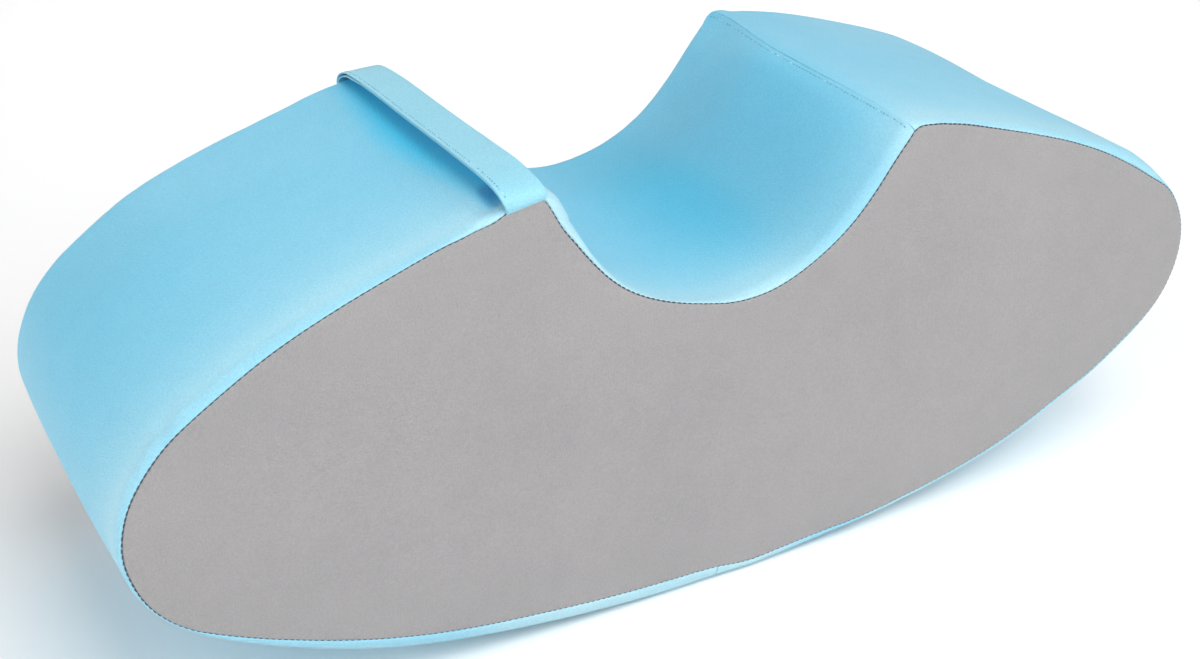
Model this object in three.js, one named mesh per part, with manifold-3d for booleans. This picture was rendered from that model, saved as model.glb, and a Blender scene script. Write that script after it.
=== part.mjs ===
// Foam rocker: a lens-shaped foam block with a saddle seat cut in its top, in a sewn
// leatherette cover: two grey sides, a blue band round the ends, a blue saddle panel,
// a folded carrying strap across one crest, and a curved zip low on the far side.
// Millimetres, +Z up, +X along the length, -Y is the near side.
// The origin is on the floor, under the middle of the rocker.
import * as THREE from 'three';
import Module from 'manifold-3d';

// ---------------------------------------------------------------- driving dimensions
const LENGTH = 800;            // overall length of the padded body
const WIDTH = 253;             // across the two side faces
const ROCK_R = 960;            // radius of the rocking arc under the belly
const ARC_HALF_X = 245;        // the rocking arc runs to x = +-245
const FLAT_HALF_X = 30;        // flat the foam takes up where it stands
const CREST_X = 134.5;         // crest of the saddle, half its opening
const CREST_Z = 319;           // height of the crests
const SEAT_Z = 224.5;          // lowest point of the saddle
const SKIN = 1.2;              // leatherette
const GAP = 0.3;               // clearance between pieces
const SEAM_N = 9;              // how far in from the outline the side seams lie
const GROOVE = 1.4;            // width of the seam groove that holds the thread
const THREAD = 0.7;            // seam thread
const LIP = 7;                 // seam allowance turned into the foam

const STRAP_X0 = -155.5;       // left edge of the strap
const STRAP_X1 = -129;         // right edge, over the crest seam
const STRAP_T = 2.6;           // two folded layers
const STRAP_RISE = 10;         // finger room under the strap

const ZIP_N = 24;              // zip's centre line, in from the outline
const ZIP_HALF_DEG = 14.2;     // half the slit's arc
const CHAIN_HALF_DEG = 13.7;   // half the chain's arc
const SLIDER_DEG = 12.9;       // slider's place when closed, towards +X
const COIL_W = 2.3;            // one row of the coil
const COIL_H = 2.0;
const CHAIN_GAP = 1.4;         // between the rows
const TAPE_W = 10;
const TAPE_T = 0.8;
const SLIT_HALF = 6.5;         // half the slit's height
const POCKET_HALF = 11.2;      // room in the foam behind the zip

const W2 = WIDTH / 2;
const ARC_Z = ROCK_R - (ROCK_R - Math.sqrt(ROCK_R ** 2 - FLAT_HALF_X ** 2)); // height of the arc's centre
const deg = (a) => (a * Math.PI) / 180;

// ---------------------------------------------------------------- colours
const BLUE = 0x8fcdec, GREY = 0xaaa6a8, THREAD_DARK = 0x4d5a66, THREAD_BLUE = 0x9fd4ee;
const leather = (c) => new THREE.MeshStandardMaterial({ color: c, roughness: 0.48, metalness: 0 });
const thread = (c) => new THREE.MeshStandardMaterial({ color: c, roughness: 0.75, metalness: 0 });
const foamMat = new THREE.MeshStandardMaterial({ color: 0xe9e2c4, roughness: 0.95, metalness: 0 });
const tapeMat = new THREE.MeshStandardMaterial({ color: 0x9a9799, roughness: 0.9, metalness: 0 });
const coilMat = new THREE.MeshStandardMaterial({ color: 0x8f8c8e, roughness: 0.4, metalness: 0 });
const metalMat = new THREE.MeshStandardMaterial({ color: 0x9b9c9e, roughness: 0.35, metalness: 0.9 });

const root = new THREE.Group();
root.name = 'foam_rocker';

// ---------------------------------------------------------------- mesh helpers
class Builder {
  constructor() { this.p = []; this.t = []; }
  v(x, y, z) { this.p.push(x, y, z); return this.p.length / 3 - 1; }
  tri(a, b, c) { this.t.push(a, b, c); }
  quad(a, b, c, d) { this.t.push(a, b, c, a, c, d); }
  volume() {
    let s = 0;
    const P = this.p;
    for (let i = 0; i < this.t.length; i += 3) {
      const [a, b, c] = [this.t[i] * 3, this.t[i + 1] * 3, this.t[i + 2] * 3];
      s += P[a] * (P[b + 1] * P[c + 2] - P[b + 2] * P[c + 1])
        - P[a + 1] * (P[b] * P[c + 2] - P[b + 2] * P[c])
        + P[a + 2] * (P[b] * P[c + 1] - P[b + 1] * P[c]);
    }
    return s / 6;
  }
  geometry() {
    if (this.volume() < 0) {
      for (let i = 0; i < this.t.length; i += 3) [this.t[i], this.t[i + 1]] = [this.t[i + 1], this.t[i]];
    }
    const g = new THREE.BufferGeometry();
    g.setAttribute('position', new THREE.Float32BufferAttribute(this.p, 3));
    g.setIndex(this.t);
    g.computeVertexNormals();
    return g;
  }
}

function add(name, geometry, material) {
  const m = new THREE.Mesh(geometry, material);
  m.name = name;
  root.add(m);
  return m;
}

// ---------------------------------------------------------------- outline of the side
// Stations run anticlockwise seen from the near side: from the bottom centre to the
// right end, the right crest, the saddle, the left crest, the left end and back.
const arcPoint = (a) => [ROCK_R * Math.sin(a), ARC_Z - ROCK_R * Math.cos(a)];

function halfOutline() {
  const pts = [];
  const a0 = Math.asin(FLAT_HALF_X / ROCK_R), a1 = Math.asin(ARC_HALF_X / ROCK_R);
  for (let i = 0; i <= 8; i += 1) {
    const a = a0 + ((a1 - a0) * i) / 8;
    const [x, z] = arcPoint(a);
    pts.push({ x, z, n: [-Math.sin(a), Math.cos(a)] });
  }
  const [ax, az] = arcPoint(a1);
  const end = new THREE.CatmullRomCurve3([
    [ax, az], [285, 47.2], [318.6, 64], [350, 83.6], [375.9, 106.2], [392.8, 131.4], [LENGTH / 2, 159],
    [397, 185], [383.6, 211], [360.9, 236], [329, 258.6], [288.8, 278.2], [241.5, 294.6], [188.5, 308.6],
    [CREST_X, CREST_Z],
  ].map(([x, z]) => new THREE.Vector3(x, 0, z)), false, 'centripetal');
  const N = 26;
  for (let i = 1; i <= N; i += 1) {
    const q = end.getPointAt(i / N);
    pts.push({ x: q.x, z: q.z, corner: i === N });
  }
  const seat = new THREE.CatmullRomCurve3([
    [CREST_X, CREST_Z], [128.2, 311.6], [121.9, 303.9], [115.4, 295.3], [108.2, 286], [100.3, 276], [91.2, 265.4],
    [80.6, 254.9], [68.4, 245.3], [54.3, 237.3], [38.8, 231.1], [22.3, 227], [8, 224.9], [0, SEAT_Z],
  ].map(([x, z]) => new THREE.Vector3(x, 0, z)), false, 'centripetal');
  const M = 14;
  for (let i = 1; i <= M; i += 1) {
    const q = seat.getPointAt(i / M);
    pts.push({ x: q.x, z: q.z });
  }
  return pts;
}

const half = halfOutline();
const outline = [...half, ...half.slice(0, -1).reverse().map((q) => ({
  x: -q.x, z: q.z, corner: q.corner, n: q.n ? [-q.n[0], q.n[1]] : undefined,
}))];
const COUNT = outline.length;
const crestR = half.findIndex((q) => q.corner);
const crestL = COUNT - 1 - crestR;

// inward direction at each station, mitred at the crests
outline.forEach((q, i) => {
  if (q.n) { q.m = q.n; return; }
  const a = outline[(i + COUNT - 1) % COUNT], b = outline[(i + 1) % COUNT];
  const unit = (dx, dz) => { const l = Math.hypot(dx, dz); return [dx / l, dz / l]; };
  const t1 = unit(q.x - a.x, q.z - a.z), t2 = unit(b.x - q.x, b.z - q.z);
  const n1 = [-t1[1], t1[0]], n2 = [-t2[1], t2[0]];
  const k = 1 + n1[0] * n2[0] + n1[1] * n2[1];
  q.m = [(n1[0] + n2[0]) / k, (n1[1] + n2[1]) / k];
});
const at = (q, n) => [q.x + q.m[0] * n, q.z + q.m[1] * n];

// a station moved by d along the outline, keeping the mitre direction of the one it leaves
function shifted(i, j, d) {
  const q = outline[i], r = outline[j];
  const l = Math.hypot(r.x - q.x, r.z - q.z);
  return { x: q.x + ((r.x - q.x) * d) / l, z: q.z + ((r.z - q.z) * d) / l, m: q.m };
}

// the cover's outer surface across the width: the depth n below the outline at each y
const ROUND = [
  [SEAM_N - GROOVE / 2, W2], [6.2, W2 - 1.0], [4.0, W2 - 2.7], [2.2, W2 - 5.1], [0.9, W2 - 8.2], [0.2, W2 - 11.8],
  [0, W2 - 17],
];
const depthAt = (y) => {
  const a = Math.abs(y);
  if (a <= ROUND[6][1]) return 0;
  for (let i = 0; i < 6; i += 1) {
    const [n0, y0] = ROUND[i], [n1, y1] = ROUND[i + 1];
    if (a >= y1) return n1 + ((n0 - n1) * (Math.min(a, y0) - y1)) / (y0 - y1);
  }
  return 0;
};

// ---------------------------------------------------------------- sweeps
// closed section [(n, y)...] swept along open stations, capped at both ends
function sweepOpen(stations, section) {
  const b = new Builder();
  const K = section.length;
  const rows = stations.map((q) => section.map(([n, y]) => {
    const [x, z] = at(q, n);
    return b.v(x, y, z);
  }));
  for (let i = 0; i + 1 < rows.length; i += 1) {
    for (let k = 0; k < K; k += 1) {
      const l = (k + 1) % K;
      b.quad(rows[i][k], rows[i][l], rows[i + 1][l], rows[i + 1][k]);
    }
  }
  const flat = section.map(([n, y]) => new THREE.Vector2(n, y));
  const faces = THREE.ShapeUtils.triangulateShape(flat, []);
  // orientation of the caps follows the first side quad
  const ccw = THREE.ShapeUtils.area(flat) > 0;
  faces.forEach(([p, q, r]) => {
    const s = THREE.ShapeUtils.area([flat[p], flat[q], flat[r]]) > 0;
    const [x, y, z] = s === ccw ? [p, q, r] : [p, r, q];
    b.tri(rows[0][x], rows[0][z], rows[0][y]);
    const L = rows[rows.length - 1];
    b.tri(L[x], L[y], L[z]);
  });
  return b.geometry();
}

// closed section swept all the way round the outline
function sweepLoop(stations, section) {
  const b = new Builder();
  const K = section.length, S = stations.length;
  const rows = stations.map((q) => section.map(([n, y]) => {
    const [x, z] = at(q, n);
    return b.v(x, y, z);
  }));
  for (let i = 0; i < S; i += 1) {
    for (let k = 0; k < K; k += 1) {
      const l = (k + 1) % K, j = (i + 1) % S;
      b.quad(rows[i][k], rows[i][l], rows[j][l], rows[j][k]);
    }
  }
  return b.geometry();
}

// a body made of rings round the whole outline, closed by a flat sheet at each end.
// hole = {start, end}: rings of the slit in the last sheet, with the wall or pocket behind it
function ringBody(rings, firstHole, lastHole) {
  const b = new Builder();
  const rows = rings.map(([n, y]) => outline.map((q) => {
    const [x, z] = at(q, n);
    return b.v(x, y, z);
  }));
  for (let r = 0; r + 1 < rows.length; r += 1) {
    for (let i = 0; i < COUNT; i += 1) {
      const j = (i + 1) % COUNT;
      b.quad(rows[r][i], rows[r][j], rows[r + 1][j], rows[r + 1][i]);
    }
  }
  const sheet = (row, y, hole, last) => {
    const P = (k) => new THREE.Vector2(b.p[k * 3], b.p[k * 3 + 2]);
    const contour = row.map(P);
    const ids = [...row];
    let holes = [];
    let holeRow = [];
    if (hole) {
      holeRow = hole.map(([x, z]) => b.v(x, y, z));
      holes = [holeRow.map(P)];
      ids.push(...holeRow);
    }
    const pts = [...contour, ...(holes[0] || [])];
    THREE.ShapeUtils.triangulateShape(contour, holes).forEach(([p, q, r]) => {
      const s = THREE.ShapeUtils.area([pts[p], pts[q], pts[r]]) > 0;
      const [x, w, v] = s ? [p, q, r] : [p, r, q];
      if (last) b.tri(ids[x], ids[w], ids[v]); else b.tri(ids[x], ids[v], ids[w]);
    });
    return holeRow;
  };
  const h0 = sheet(rows[0], rings[0][1], firstHole, false);
  const h1 = sheet(rows[rows.length - 1], rings[rings.length - 1][1], lastHole, true);
  return { b, h0, h1 };
}

// ---------------------------------------------------------------- zip's arc
const zipR = ROCK_R - ZIP_N;
const polar = (rad, a) => [rad * Math.sin(a), ARC_Z - rad * Math.cos(a)];
function slitOutline(halfHeight, halfDeg, steps) {
  const pts = [];
  for (let i = 0; i <= steps; i += 1) pts.push(polar(zipR + halfHeight, deg(-halfDeg + (2 * halfDeg * i) / steps)));
  for (let i = 0; i <= steps; i += 1) pts.push(polar(zipR - halfHeight, deg(halfDeg - (2 * halfDeg * i) / steps)));
  return pts;
}
// section [(r, y)...] swept along the zip's arc
function sweepArc(section, a0, a1, steps) {
  const b = new Builder();
  const K = section.length;
  const rows = [];
  for (let i = 0; i <= steps; i += 1) {
    const a = deg(a0 + ((a1 - a0) * i) / steps);
    rows.push(section.map(([r, y]) => { const [x, z] = polar(r, a); return b.v(x, y, z); }));
  }
  for (let i = 0; i < steps; i += 1) {
    for (let k = 0; k < K; k += 1) {
      const l = (k + 1) % K;
      b.quad(rows[i][k], rows[i][l], rows[i + 1][l], rows[i + 1][k]);
    }
  }
  for (let k = 1; k + 1 < K; k += 1) {
    b.tri(rows[0][0], rows[0][k + 1], rows[0][k]);
    b.tri(rows[steps][0], rows[steps][k], rows[steps][k + 1]);
  }
  return b.geometry();
}

// ---------------------------------------------------------------- foam core
{
  const n0 = SKIN + GAP;                 // the foam fills the skins
  const yF = W2 - SKIN - GAP;
  const slotIn = SEAM_N + 2.6, slotOut = SEAM_N - 2.6, slotY = W2 - LIP - 0.8;
  const edge = [
    [slotIn, yF], [slotIn, slotY], [slotOut, slotY], [slotOut, yF - 1.4], [4.3, W2 - 5.2], [2.5, W2 - 9.0],
    [n0 + 0.05, W2 - 13.5],
  ];
  const rings = [...edge.map(([n, y]) => [n, -y]), ...edge.slice().reverse()];
  const pocket = slitOutline(POCKET_HALF, ZIP_HALF_DEG + 0.5, 20);
  const { b, h1 } = ringBody(rings, null, pocket);
  // pocket behind the zip
  const yP = W2 - 5.2;
  const floor = pocket.map(([x, z]) => b.v(x, yP, z));
  const H = h1.length;
  for (let i = 0; i < H; i += 1) {
    const j = (i + 1) % H;
    b.quad(h1[i], h1[j], floor[j], floor[i]);
  }
  const pts = pocket.map(([x, z]) => new THREE.Vector2(x, z));
  THREE.ShapeUtils.triangulateShape(pts, []).forEach(([p, q, r]) => {
    const s = THREE.ShapeUtils.area([pts[p], pts[q], pts[r]]) > 0;
    const [x, w, v] = s ? [p, q, r] : [p, r, q];
    b.tri(floor[x], floor[w], floor[v]);
  });
  add('foam_core', b.geometry(), foamMat);
}

// ---------------------------------------------------------------- side panels
// flat face with its seam allowance turned into the foam
{
  const e = SEAM_N + GROOVE / 2;
  const ring = [[e, W2], [e, W2 - LIP], [e + SKIN, W2 - LIP], [e + SKIN, W2 - SKIN]];
  const near = ringBody(ring.map(([n, y]) => [n, -y]));
  add('side_panel_near', near.b.geometry(), leather(GREY));
  const slit = slitOutline(SLIT_HALF, ZIP_HALF_DEG, 14);
  const far = ringBody(ring, slit, slit);
  const { b, h0, h1 } = far;
  for (let i = 0; i < h0.length; i += 1) {
    const j = (i + 1) % h0.length;
    b.quad(h0[j], h0[i], h1[i], h1[j]);
  }
  add('side_panel_far', b.geometry(), leather(GREY));
}

// ---------------------------------------------------------------- bands and saddle panel
const coverSection = (() => {
  const lipN = SEAM_N - GROOVE / 2;
  const outer = [[lipN, W2 - LIP], ...ROUND.map(([n, y]) => [n, y])];          // lip end, round to the flat
  const inner = [
    [lipN - SKIN, W2 - LIP], [lipN - SKIN, W2 - 2.0], [4.9, W2 - 3.6], [3.3, W2 - 6.0], [2.1, W2 - 8.9],
    [SKIN + 0.15, W2 - 12.2], [SKIN, W2 - 17],
  ];
  return [
    ...outer.map(([n, y]) => [n, -y]), ...outer.slice().reverse(),
    ...inner, ...inner.slice().reverse().map(([n, y]) => [n, -y]),
  ];
})();
{
  const g2 = GROOVE / 2;
  const right = [];
  right.push({ x: g2, z: 0, m: [0, 1] });
  for (let i = 0; i < crestR; i += 1) right.push(outline[i]);
  right.push(shifted(crestR, crestR - 1, g2));
  add('band_right', sweepOpen(right, coverSection), leather(BLUE));

  const left = [shifted(crestL, crestL + 1, g2)];
  for (let i = crestL + 1; i < COUNT; i += 1) left.push(outline[i]);
  left.push({ x: -g2, z: 0, m: [0, 1] });
  add('band_left', sweepOpen(left, coverSection), leather(BLUE));

  const seat = [shifted(crestR, crestR + 1, g2)];
  for (let i = crestR + 1; i < crestL; i += 1) seat.push(outline[i]);
  seat.push(shifted(crestL, crestL - 1, g2));
  add('seat_panel', sweepOpen(seat, coverSection), leather(BLUE));
}

// ---------------------------------------------------------------- seam threads
const cordSection = (n, y, r) => [[n - r, y], [n, y - r], [n + r, y], [n, y + r]];
{
  const r = THREAD / 2;
  add('seam_thread_near', sweepLoop(outline, cordSection(SEAM_N, -(W2 - 0.4), r)), thread(THREAD_DARK));
  add('seam_thread_far', sweepLoop(outline, cordSection(SEAM_N, W2 - 0.4, r)), thread(THREAD_DARK));
}

// a thread laid across the width: its path holds 3-D points, its section is a diamond
function crossThread(path, r) {
  const b = new Builder();
  const rows = path.map((p, i) => {
    const a = path[Math.max(0, i - 1)], c = path[Math.min(path.length - 1, i + 1)];
    const t = new THREE.Vector3(c[0] - a[0], c[1] - a[1], c[2] - a[2]).normalize();
    const side = new THREE.Vector3(1, 0, 0).addScaledVector(t, -t.x).normalize();
    const up = new THREE.Vector3().crossVectors(side, t).normalize();
    return [[1, 0], [0, 1], [-1, 0], [0, -1]].map(([u, v]) => b.v(
      p[0] + (side.x * u + up.x * v) * r, p[1] + (side.y * u + up.y * v) * r, p[2] + (side.z * u + up.z * v) * r,
    ));
  });
  for (let i = 0; i + 1 < rows.length; i += 1) {
    for (let k = 0; k < 4; k += 1) {
      const l = (k + 1) % 4;
      b.quad(rows[i][k], rows[i][l], rows[i + 1][l], rows[i + 1][k]);
    }
  }
  const L = rows[rows.length - 1];
  b.quad(rows[0][3], rows[0][2], rows[0][1], rows[0][0]);
  b.quad(L[0], L[1], L[2], L[3]);
  return b.geometry();
}
const acrossY = ROUND.slice(2).map(([, y]) => y);
const yStops = [...acrossY.map((y) => -y), -60, 0, 60, ...acrossY.slice().reverse()];

// cross seams at the two crests and under the belly: threads low in their grooves
const crossSeam = (q, sink) => yStops.map((y) => {
  const [x, z] = at(q, depthAt(y) + sink);
  return [x, y, z];
});
add('crest_thread_right', crossThread(crossSeam(outline[crestR], 0.5), THREAD / 2), thread(THREAD_BLUE));
add('crest_thread_left', crossThread(crossSeam(outline[crestL], 0.5), THREAD / 2), thread(THREAD_BLUE));
add('bottom_seam_thread', crossThread(crossSeam({ x: 0, z: 0, m: [0, 1] }, 0.55), THREAD / 2), thread(THREAD_DARK));

// rows of topstitching on the saddle panel, just below each crest
const topR = shifted(crestR, crestR + 1, 4.2), topL = shifted(crestL, crestL - 1, 4.2);
{
  const a = outline[crestR + 1].m;
  topR.m = a;
  topL.m = [-a[0], a[1]];
}
add('crest_topstitch_right', crossThread(crossSeam(topR, -0.75), 0.35), thread(THREAD_BLUE));
add('crest_topstitch_left', crossThread(crossSeam(topL, -0.75), 0.35), thread(THREAD_BLUE));

// ---------------------------------------------------------------- carrying strap
// a folded band across the left crest, its ends turned down over the rounded edges
// into the side seams, its middle arched clear of the cover
const strapSlope = 0.1;                       // its right edge stands a little higher
const strapPath = (() => {
  // half of the strap's underside: y, and height above the crest
  const lower = [
    [W2 + 0.5, -8.8], [W2 + 0.45, -7.4], [W2 - 0.55, -5.7], [W2 - 2.3, -3.5], [W2 - 4.8, -1.5], [W2 - 9, 1.6],
    [W2 - 14, 4.9], [W2 - 22, 8.0], [W2 - 34, STRAP_RISE - 0.6], [W2 - 60, STRAP_RISE], [0, STRAP_RISE + 0.3],
  ];
  const neg = lower.map(([y, h]) => [-y, h]);
  return [...neg, ...lower.slice(0, -1).reverse()];
})();
{
  const b = new Builder();
  const under = strapPath, over = [];
  under.forEach(([y, h], i) => {
    const a = under[Math.max(0, i - 1)], c = under[Math.min(under.length - 1, i + 1)];
    const l = Math.hypot(c[0] - a[0], c[1] - a[1]);
    over.push([y - ((c[1] - a[1]) / l) * STRAP_T, h + ((c[0] - a[0]) / l) * STRAP_T]);
  });
  const base = (x) => CREST_Z + (x + CREST_X) * strapSlope;
  const xs = [STRAP_X0, STRAP_X0 + 0.8, STRAP_X1 - 0.8, STRAP_X1];
  const rows = under.map(([y, h], i) => {
    const [yo, ho] = over[i];
    const ym = (y + yo) / 2, hm = (h + ho) / 2;
    const ring = [];
    ring.push([xs[0], ym, hm], [xs[1], y, h], [xs[2], y, h], [xs[3], ym, hm], [xs[2], yo, ho], [xs[1], yo, ho]);
    return ring.map(([x, yy, hh]) => b.v(x, yy, base(x) + hh));
  });
  for (let i = 0; i + 1 < rows.length; i += 1) {
    for (let k = 0; k < 6; k += 1) {
      const l = (k + 1) % 6;
      b.quad(rows[i][k], rows[i][l], rows[i + 1][l], rows[i + 1][k]);
    }
  }
  const cap = (r, flip) => {
    for (let k = 1; k < 5; k += 1) if (flip) b.tri(r[0], r[k + 1], r[k]); else b.tri(r[0], r[k], r[k + 1]);
  };
  cap(rows[0], true);
  cap(rows[rows.length - 1], false);
  add('handle_strap', b.geometry(), leather(BLUE));

  // one row of stitches along the strap's left edge, on its upper face
  const x = STRAP_X0 + 3;
  const path = over.map(([y, h], i) => {
    const a = over[Math.max(0, i - 1)], c = over[Math.min(over.length - 1, i + 1)];
    const l = Math.hypot(c[0] - a[0], c[1] - a[1]);
    return [x, y - ((c[1] - a[1]) / l) * 0.7, base(x) + h + ((c[0] - a[0]) / l) * 0.7];
  }).slice(1, -1);
  add('strap_topstitch', crossThread(path, 0.3), thread(THREAD_BLUE));
}

// ---------------------------------------------------------------- zip, low on the far side
{
  const yT0 = W2 - SKIN - GAP - TAPE_T, yT1 = W2 - SKIN - GAP;     // tape, behind the panel
  const yC0 = yT1 + GAP, yC1 = yC0 + COIL_H;                       // coil, on the tape
  const g = CHAIN_GAP / 2;
  const box = (r0, r1, y0, y1) => [[r0, y0], [r1, y0], [r1, y1], [r0, y1]];
  const S = 22;
  // the rocking arc's centre is above, so a larger radius lies lower
  add('zip_tape_lower', sweepArc(box(zipR + g, zipR + g + TAPE_W, yT0, yT1), -ZIP_HALF_DEG, ZIP_HALF_DEG, S), tapeMat);
  add('zip_tape_upper', sweepArc(box(zipR - g - TAPE_W, zipR - g, yT0, yT1), -ZIP_HALF_DEG, ZIP_HALF_DEG, S), tapeMat);
  const rib = (r0, r1) => [
    [r0 + 0.4, yC0], [r1 - 0.4, yC0], [r1, yC0 + 0.5], [r1, yC1 - 0.5], [r1 - 0.4, yC1], [r0 + 0.4, yC1],
    [r0, yC1 - 0.5], [r0, yC0 + 0.5],
  ];
  add('zip_coil_lower', sweepArc(rib(zipR + g, zipR + g + COIL_W), -CHAIN_HALF_DEG, CHAIN_HALF_DEG, S), coilMat);
  add('zip_coil_upper', sweepArc(rib(zipR - g - COIL_W, zipR - g), -CHAIN_HALF_DEG, CHAIN_HALF_DEG, S), coilMat);
  const stop = (a0, a1) => sweepArc(
    rib(zipR - g - COIL_W, zipR + g + COIL_W).map(([r, y]) => [r, y]), a0, a1, 1,
  );
  add('zip_stop_closed', stop(CHAIN_HALF_DEG + 0.03, CHAIN_HALF_DEG + 0.25), metalMat);
  add('zip_stop_open', stop(-CHAIN_HALF_DEG - 0.25, -CHAIN_HALF_DEG - 0.03), metalMat);

  // stitches round the slit
  const b = new Builder();
  const loop = slitOutline(SLIT_HALF + 3, ZIP_HALF_DEG + 0.2, 14);
  const yS = W2 + 0.65, r = 0.32;
  const n = loop.length;
  const rows = loop.map(([x, z], i) => {
    const a = loop[(i + n - 1) % n], c = loop[(i + 1) % n];
    const u1 = [x - a[0], z - a[1]], u2 = [c[0] - x, c[1] - z];
    const l1 = Math.hypot(...u1), l2 = Math.hypot(...u2);
    const n1 = [-u1[1] / l1, u1[0] / l1], n2 = [-u2[1] / l2, u2[0] / l2];
    const k = 1 + n1[0] * n2[0] + n1[1] * n2[1];
    const m = [(n1[0] + n2[0]) / k, (n1[1] + n2[1]) / k];
    return [[-r, 0], [0, -r], [r, 0], [0, r]].map(([d, y]) => b.v(x + m[0] * d, yS + y, z + m[1] * d));
  });
  for (let i = 0; i < n; i += 1) {
    for (let k = 0; k < 4; k += 1) {
      const l = (k + 1) % 4, j = (i + 1) % n;
      b.quad(rows[i][k], rows[i][l], rows[j][l], rows[j][k]);
    }
  }
  add('zip_topstitch', b.geometry(), thread(THREAD_DARK));

  // slider: two plates joined by a post between the rows, flanges round the rows, a bail on top
  const wasm = await Module();
  wasm.setup();
  const solid = (geo) => {
    const pos = geo.attributes.position, idx = geo.index;
    const map = new Map(), verts = [], ids = [];
    for (let i = 0; i < pos.count; i += 1) {
      const key = [pos.getX(i), pos.getY(i), pos.getZ(i)].map((q) => q.toFixed(4)).join(',');
      if (!map.has(key)) { map.set(key, verts.length / 3); verts.push(pos.getX(i), pos.getY(i), pos.getZ(i)); }
      ids.push(map.get(key));
    }
    const tri = [];
    for (let i = 0; i < (idx ? idx.count : pos.count); i += 3) {
      const f = [0, 1, 2].map((k) => ids[idx ? idx.getX(i + k) : i + k]);
      if (f[0] !== f[1] && f[1] !== f[2] && f[0] !== f[2]) tri.push(...f);
    }
    return new wasm.Manifold(new wasm.Mesh({
      numProp: 3, vertProperties: new Float32Array(verts), triVerts: new Uint32Array(tri),
    }));
  };
  const geometryOf = (man) => {
    const mesh = man.getMesh();
    const geo = new THREE.BufferGeometry();
    geo.setAttribute('position', new THREE.Float32BufferAttribute(Array.from(mesh.vertProperties), 3));
    geo.setIndex(Array.from(mesh.triVerts));
    geo.computeVertexNormals();
    return geo;
  };
  // local frame: u along the zip, y out of the far face, v across it (up); origin on the zip's line
  const slab = (u0, u1, y0, y1, v0, v1) => {
    const q = new THREE.BoxGeometry(u1 - u0, y1 - y0, v1 - v0);
    q.translate((u0 + u1) / 2, (y0 + y1) / 2, (v0 + v1) / 2);
    return solid(q);
  };
  const plate = (outlineUV, y0, y1) => {
    const s = new THREE.Shape(outlineUV.map(([u, v]) => new THREE.Vector2(u, v)));
    const q = new THREE.ExtrudeGeometry(s, { depth: y1 - y0, bevelEnabled: false });
    q.rotateX(Math.PI / 2);          // extrusion now runs along -y
    q.translate(0, y1, 0);
    return solid(q);
  };
  const body = [[-5.6, -3.7], [-4.4, -4.5], [4.0, -4.8], [5.4, -3.6], [5.8, 0], [5.4, 3.6], [4.0, 4.8], [-4.4, 4.5], [-5.6, 3.7]];
  let slider = plate(body, yC1 + 0.4, yC1 + 1.6);
  slider = slider.add(plate(body.map(([u, v]) => [u * 0.94, v * 0.9]), yT0 - GAP - 1.3, yT0 - GAP));
  slider = slider.add(slab(-4.2, 4.0, yC0 + 0.2, yC1 + 1.0, 3.55, 4.6));
  slider = slider.add(slab(-4.2, 4.0, yC0 + 0.2, yC1 + 1.0, -4.6, -3.55));
  slider = slider.add(slab(1.6, 4.4, yT0 - GAP - 0.8, yC1 + 1.0, -0.28, 0.28));
  const yB = yC1 + 1.6;
  const bailIn = 2.6, bailOut = 4.0, bailTop = 3.7, bailBar = 0.9;
  slider = slider.add(slab(-bailOut, -bailIn, yB - 0.6, yB + bailTop - 0.3, -1.1, 1.1));
  slider = slider.add(slab(bailIn, bailOut, yB - 0.6, yB + bailTop - 0.3, -1.1, 1.1));
  slider = slider.add(slab(-bailOut, bailOut, yB + bailTop - bailBar, yB + bailTop, -1.1, 1.1));
  // pull tab: its end bar lies under the bail, its eye goes round the bail's foot,
  // and its tongue lies back along the zip; it swings about the end bar
  const tabY = yB + 1.3;
  const tabT = 0.9;
  const tabShape = new THREE.Shape([
    [-5.0, -3.2], [0.8, -3.0], [0.8, 3.0], [-5.0, 3.2], [-8, 3.4], [-22, 4.2], [-24.4, 2.6], [-24.4, -2.6],
    [-22, -4.2], [-8, -3.4],
  ].map(([u, v]) => new THREE.Vector2(u, v)));
  tabShape.holes.push(new THREE.Path([
    [-5.2, -1.6], [-5.2, 1.6], [-0.8, 1.6], [-0.8, -1.6],
  ].map(([u, v]) => new THREE.Vector2(u, v))));

  const frameAt = (geo) => {
    geo.rotateY(-deg(SLIDER_DEG));
    const [x, z] = polar(zipR, deg(SLIDER_DEG));
    geo.translate(x, 0, z);
    return geo;
  };
  add('zip_slider', frameAt(geometryOf(slider)), metalMat);
  const tab = new THREE.ExtrudeGeometry(tabShape, { depth: tabT, bevelEnabled: false });
  tab.rotateX(Math.PI / 2);
  tab.translate(0, tabY + tabT / 2, 0);
  add('zip_pull_tab', frameAt(geometryOf(solid(tab))), metalMat);
}

export default root;
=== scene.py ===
import math

import bpy
import numpy as np
from mathutils import Matrix, Vector, geometry, noise


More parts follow.
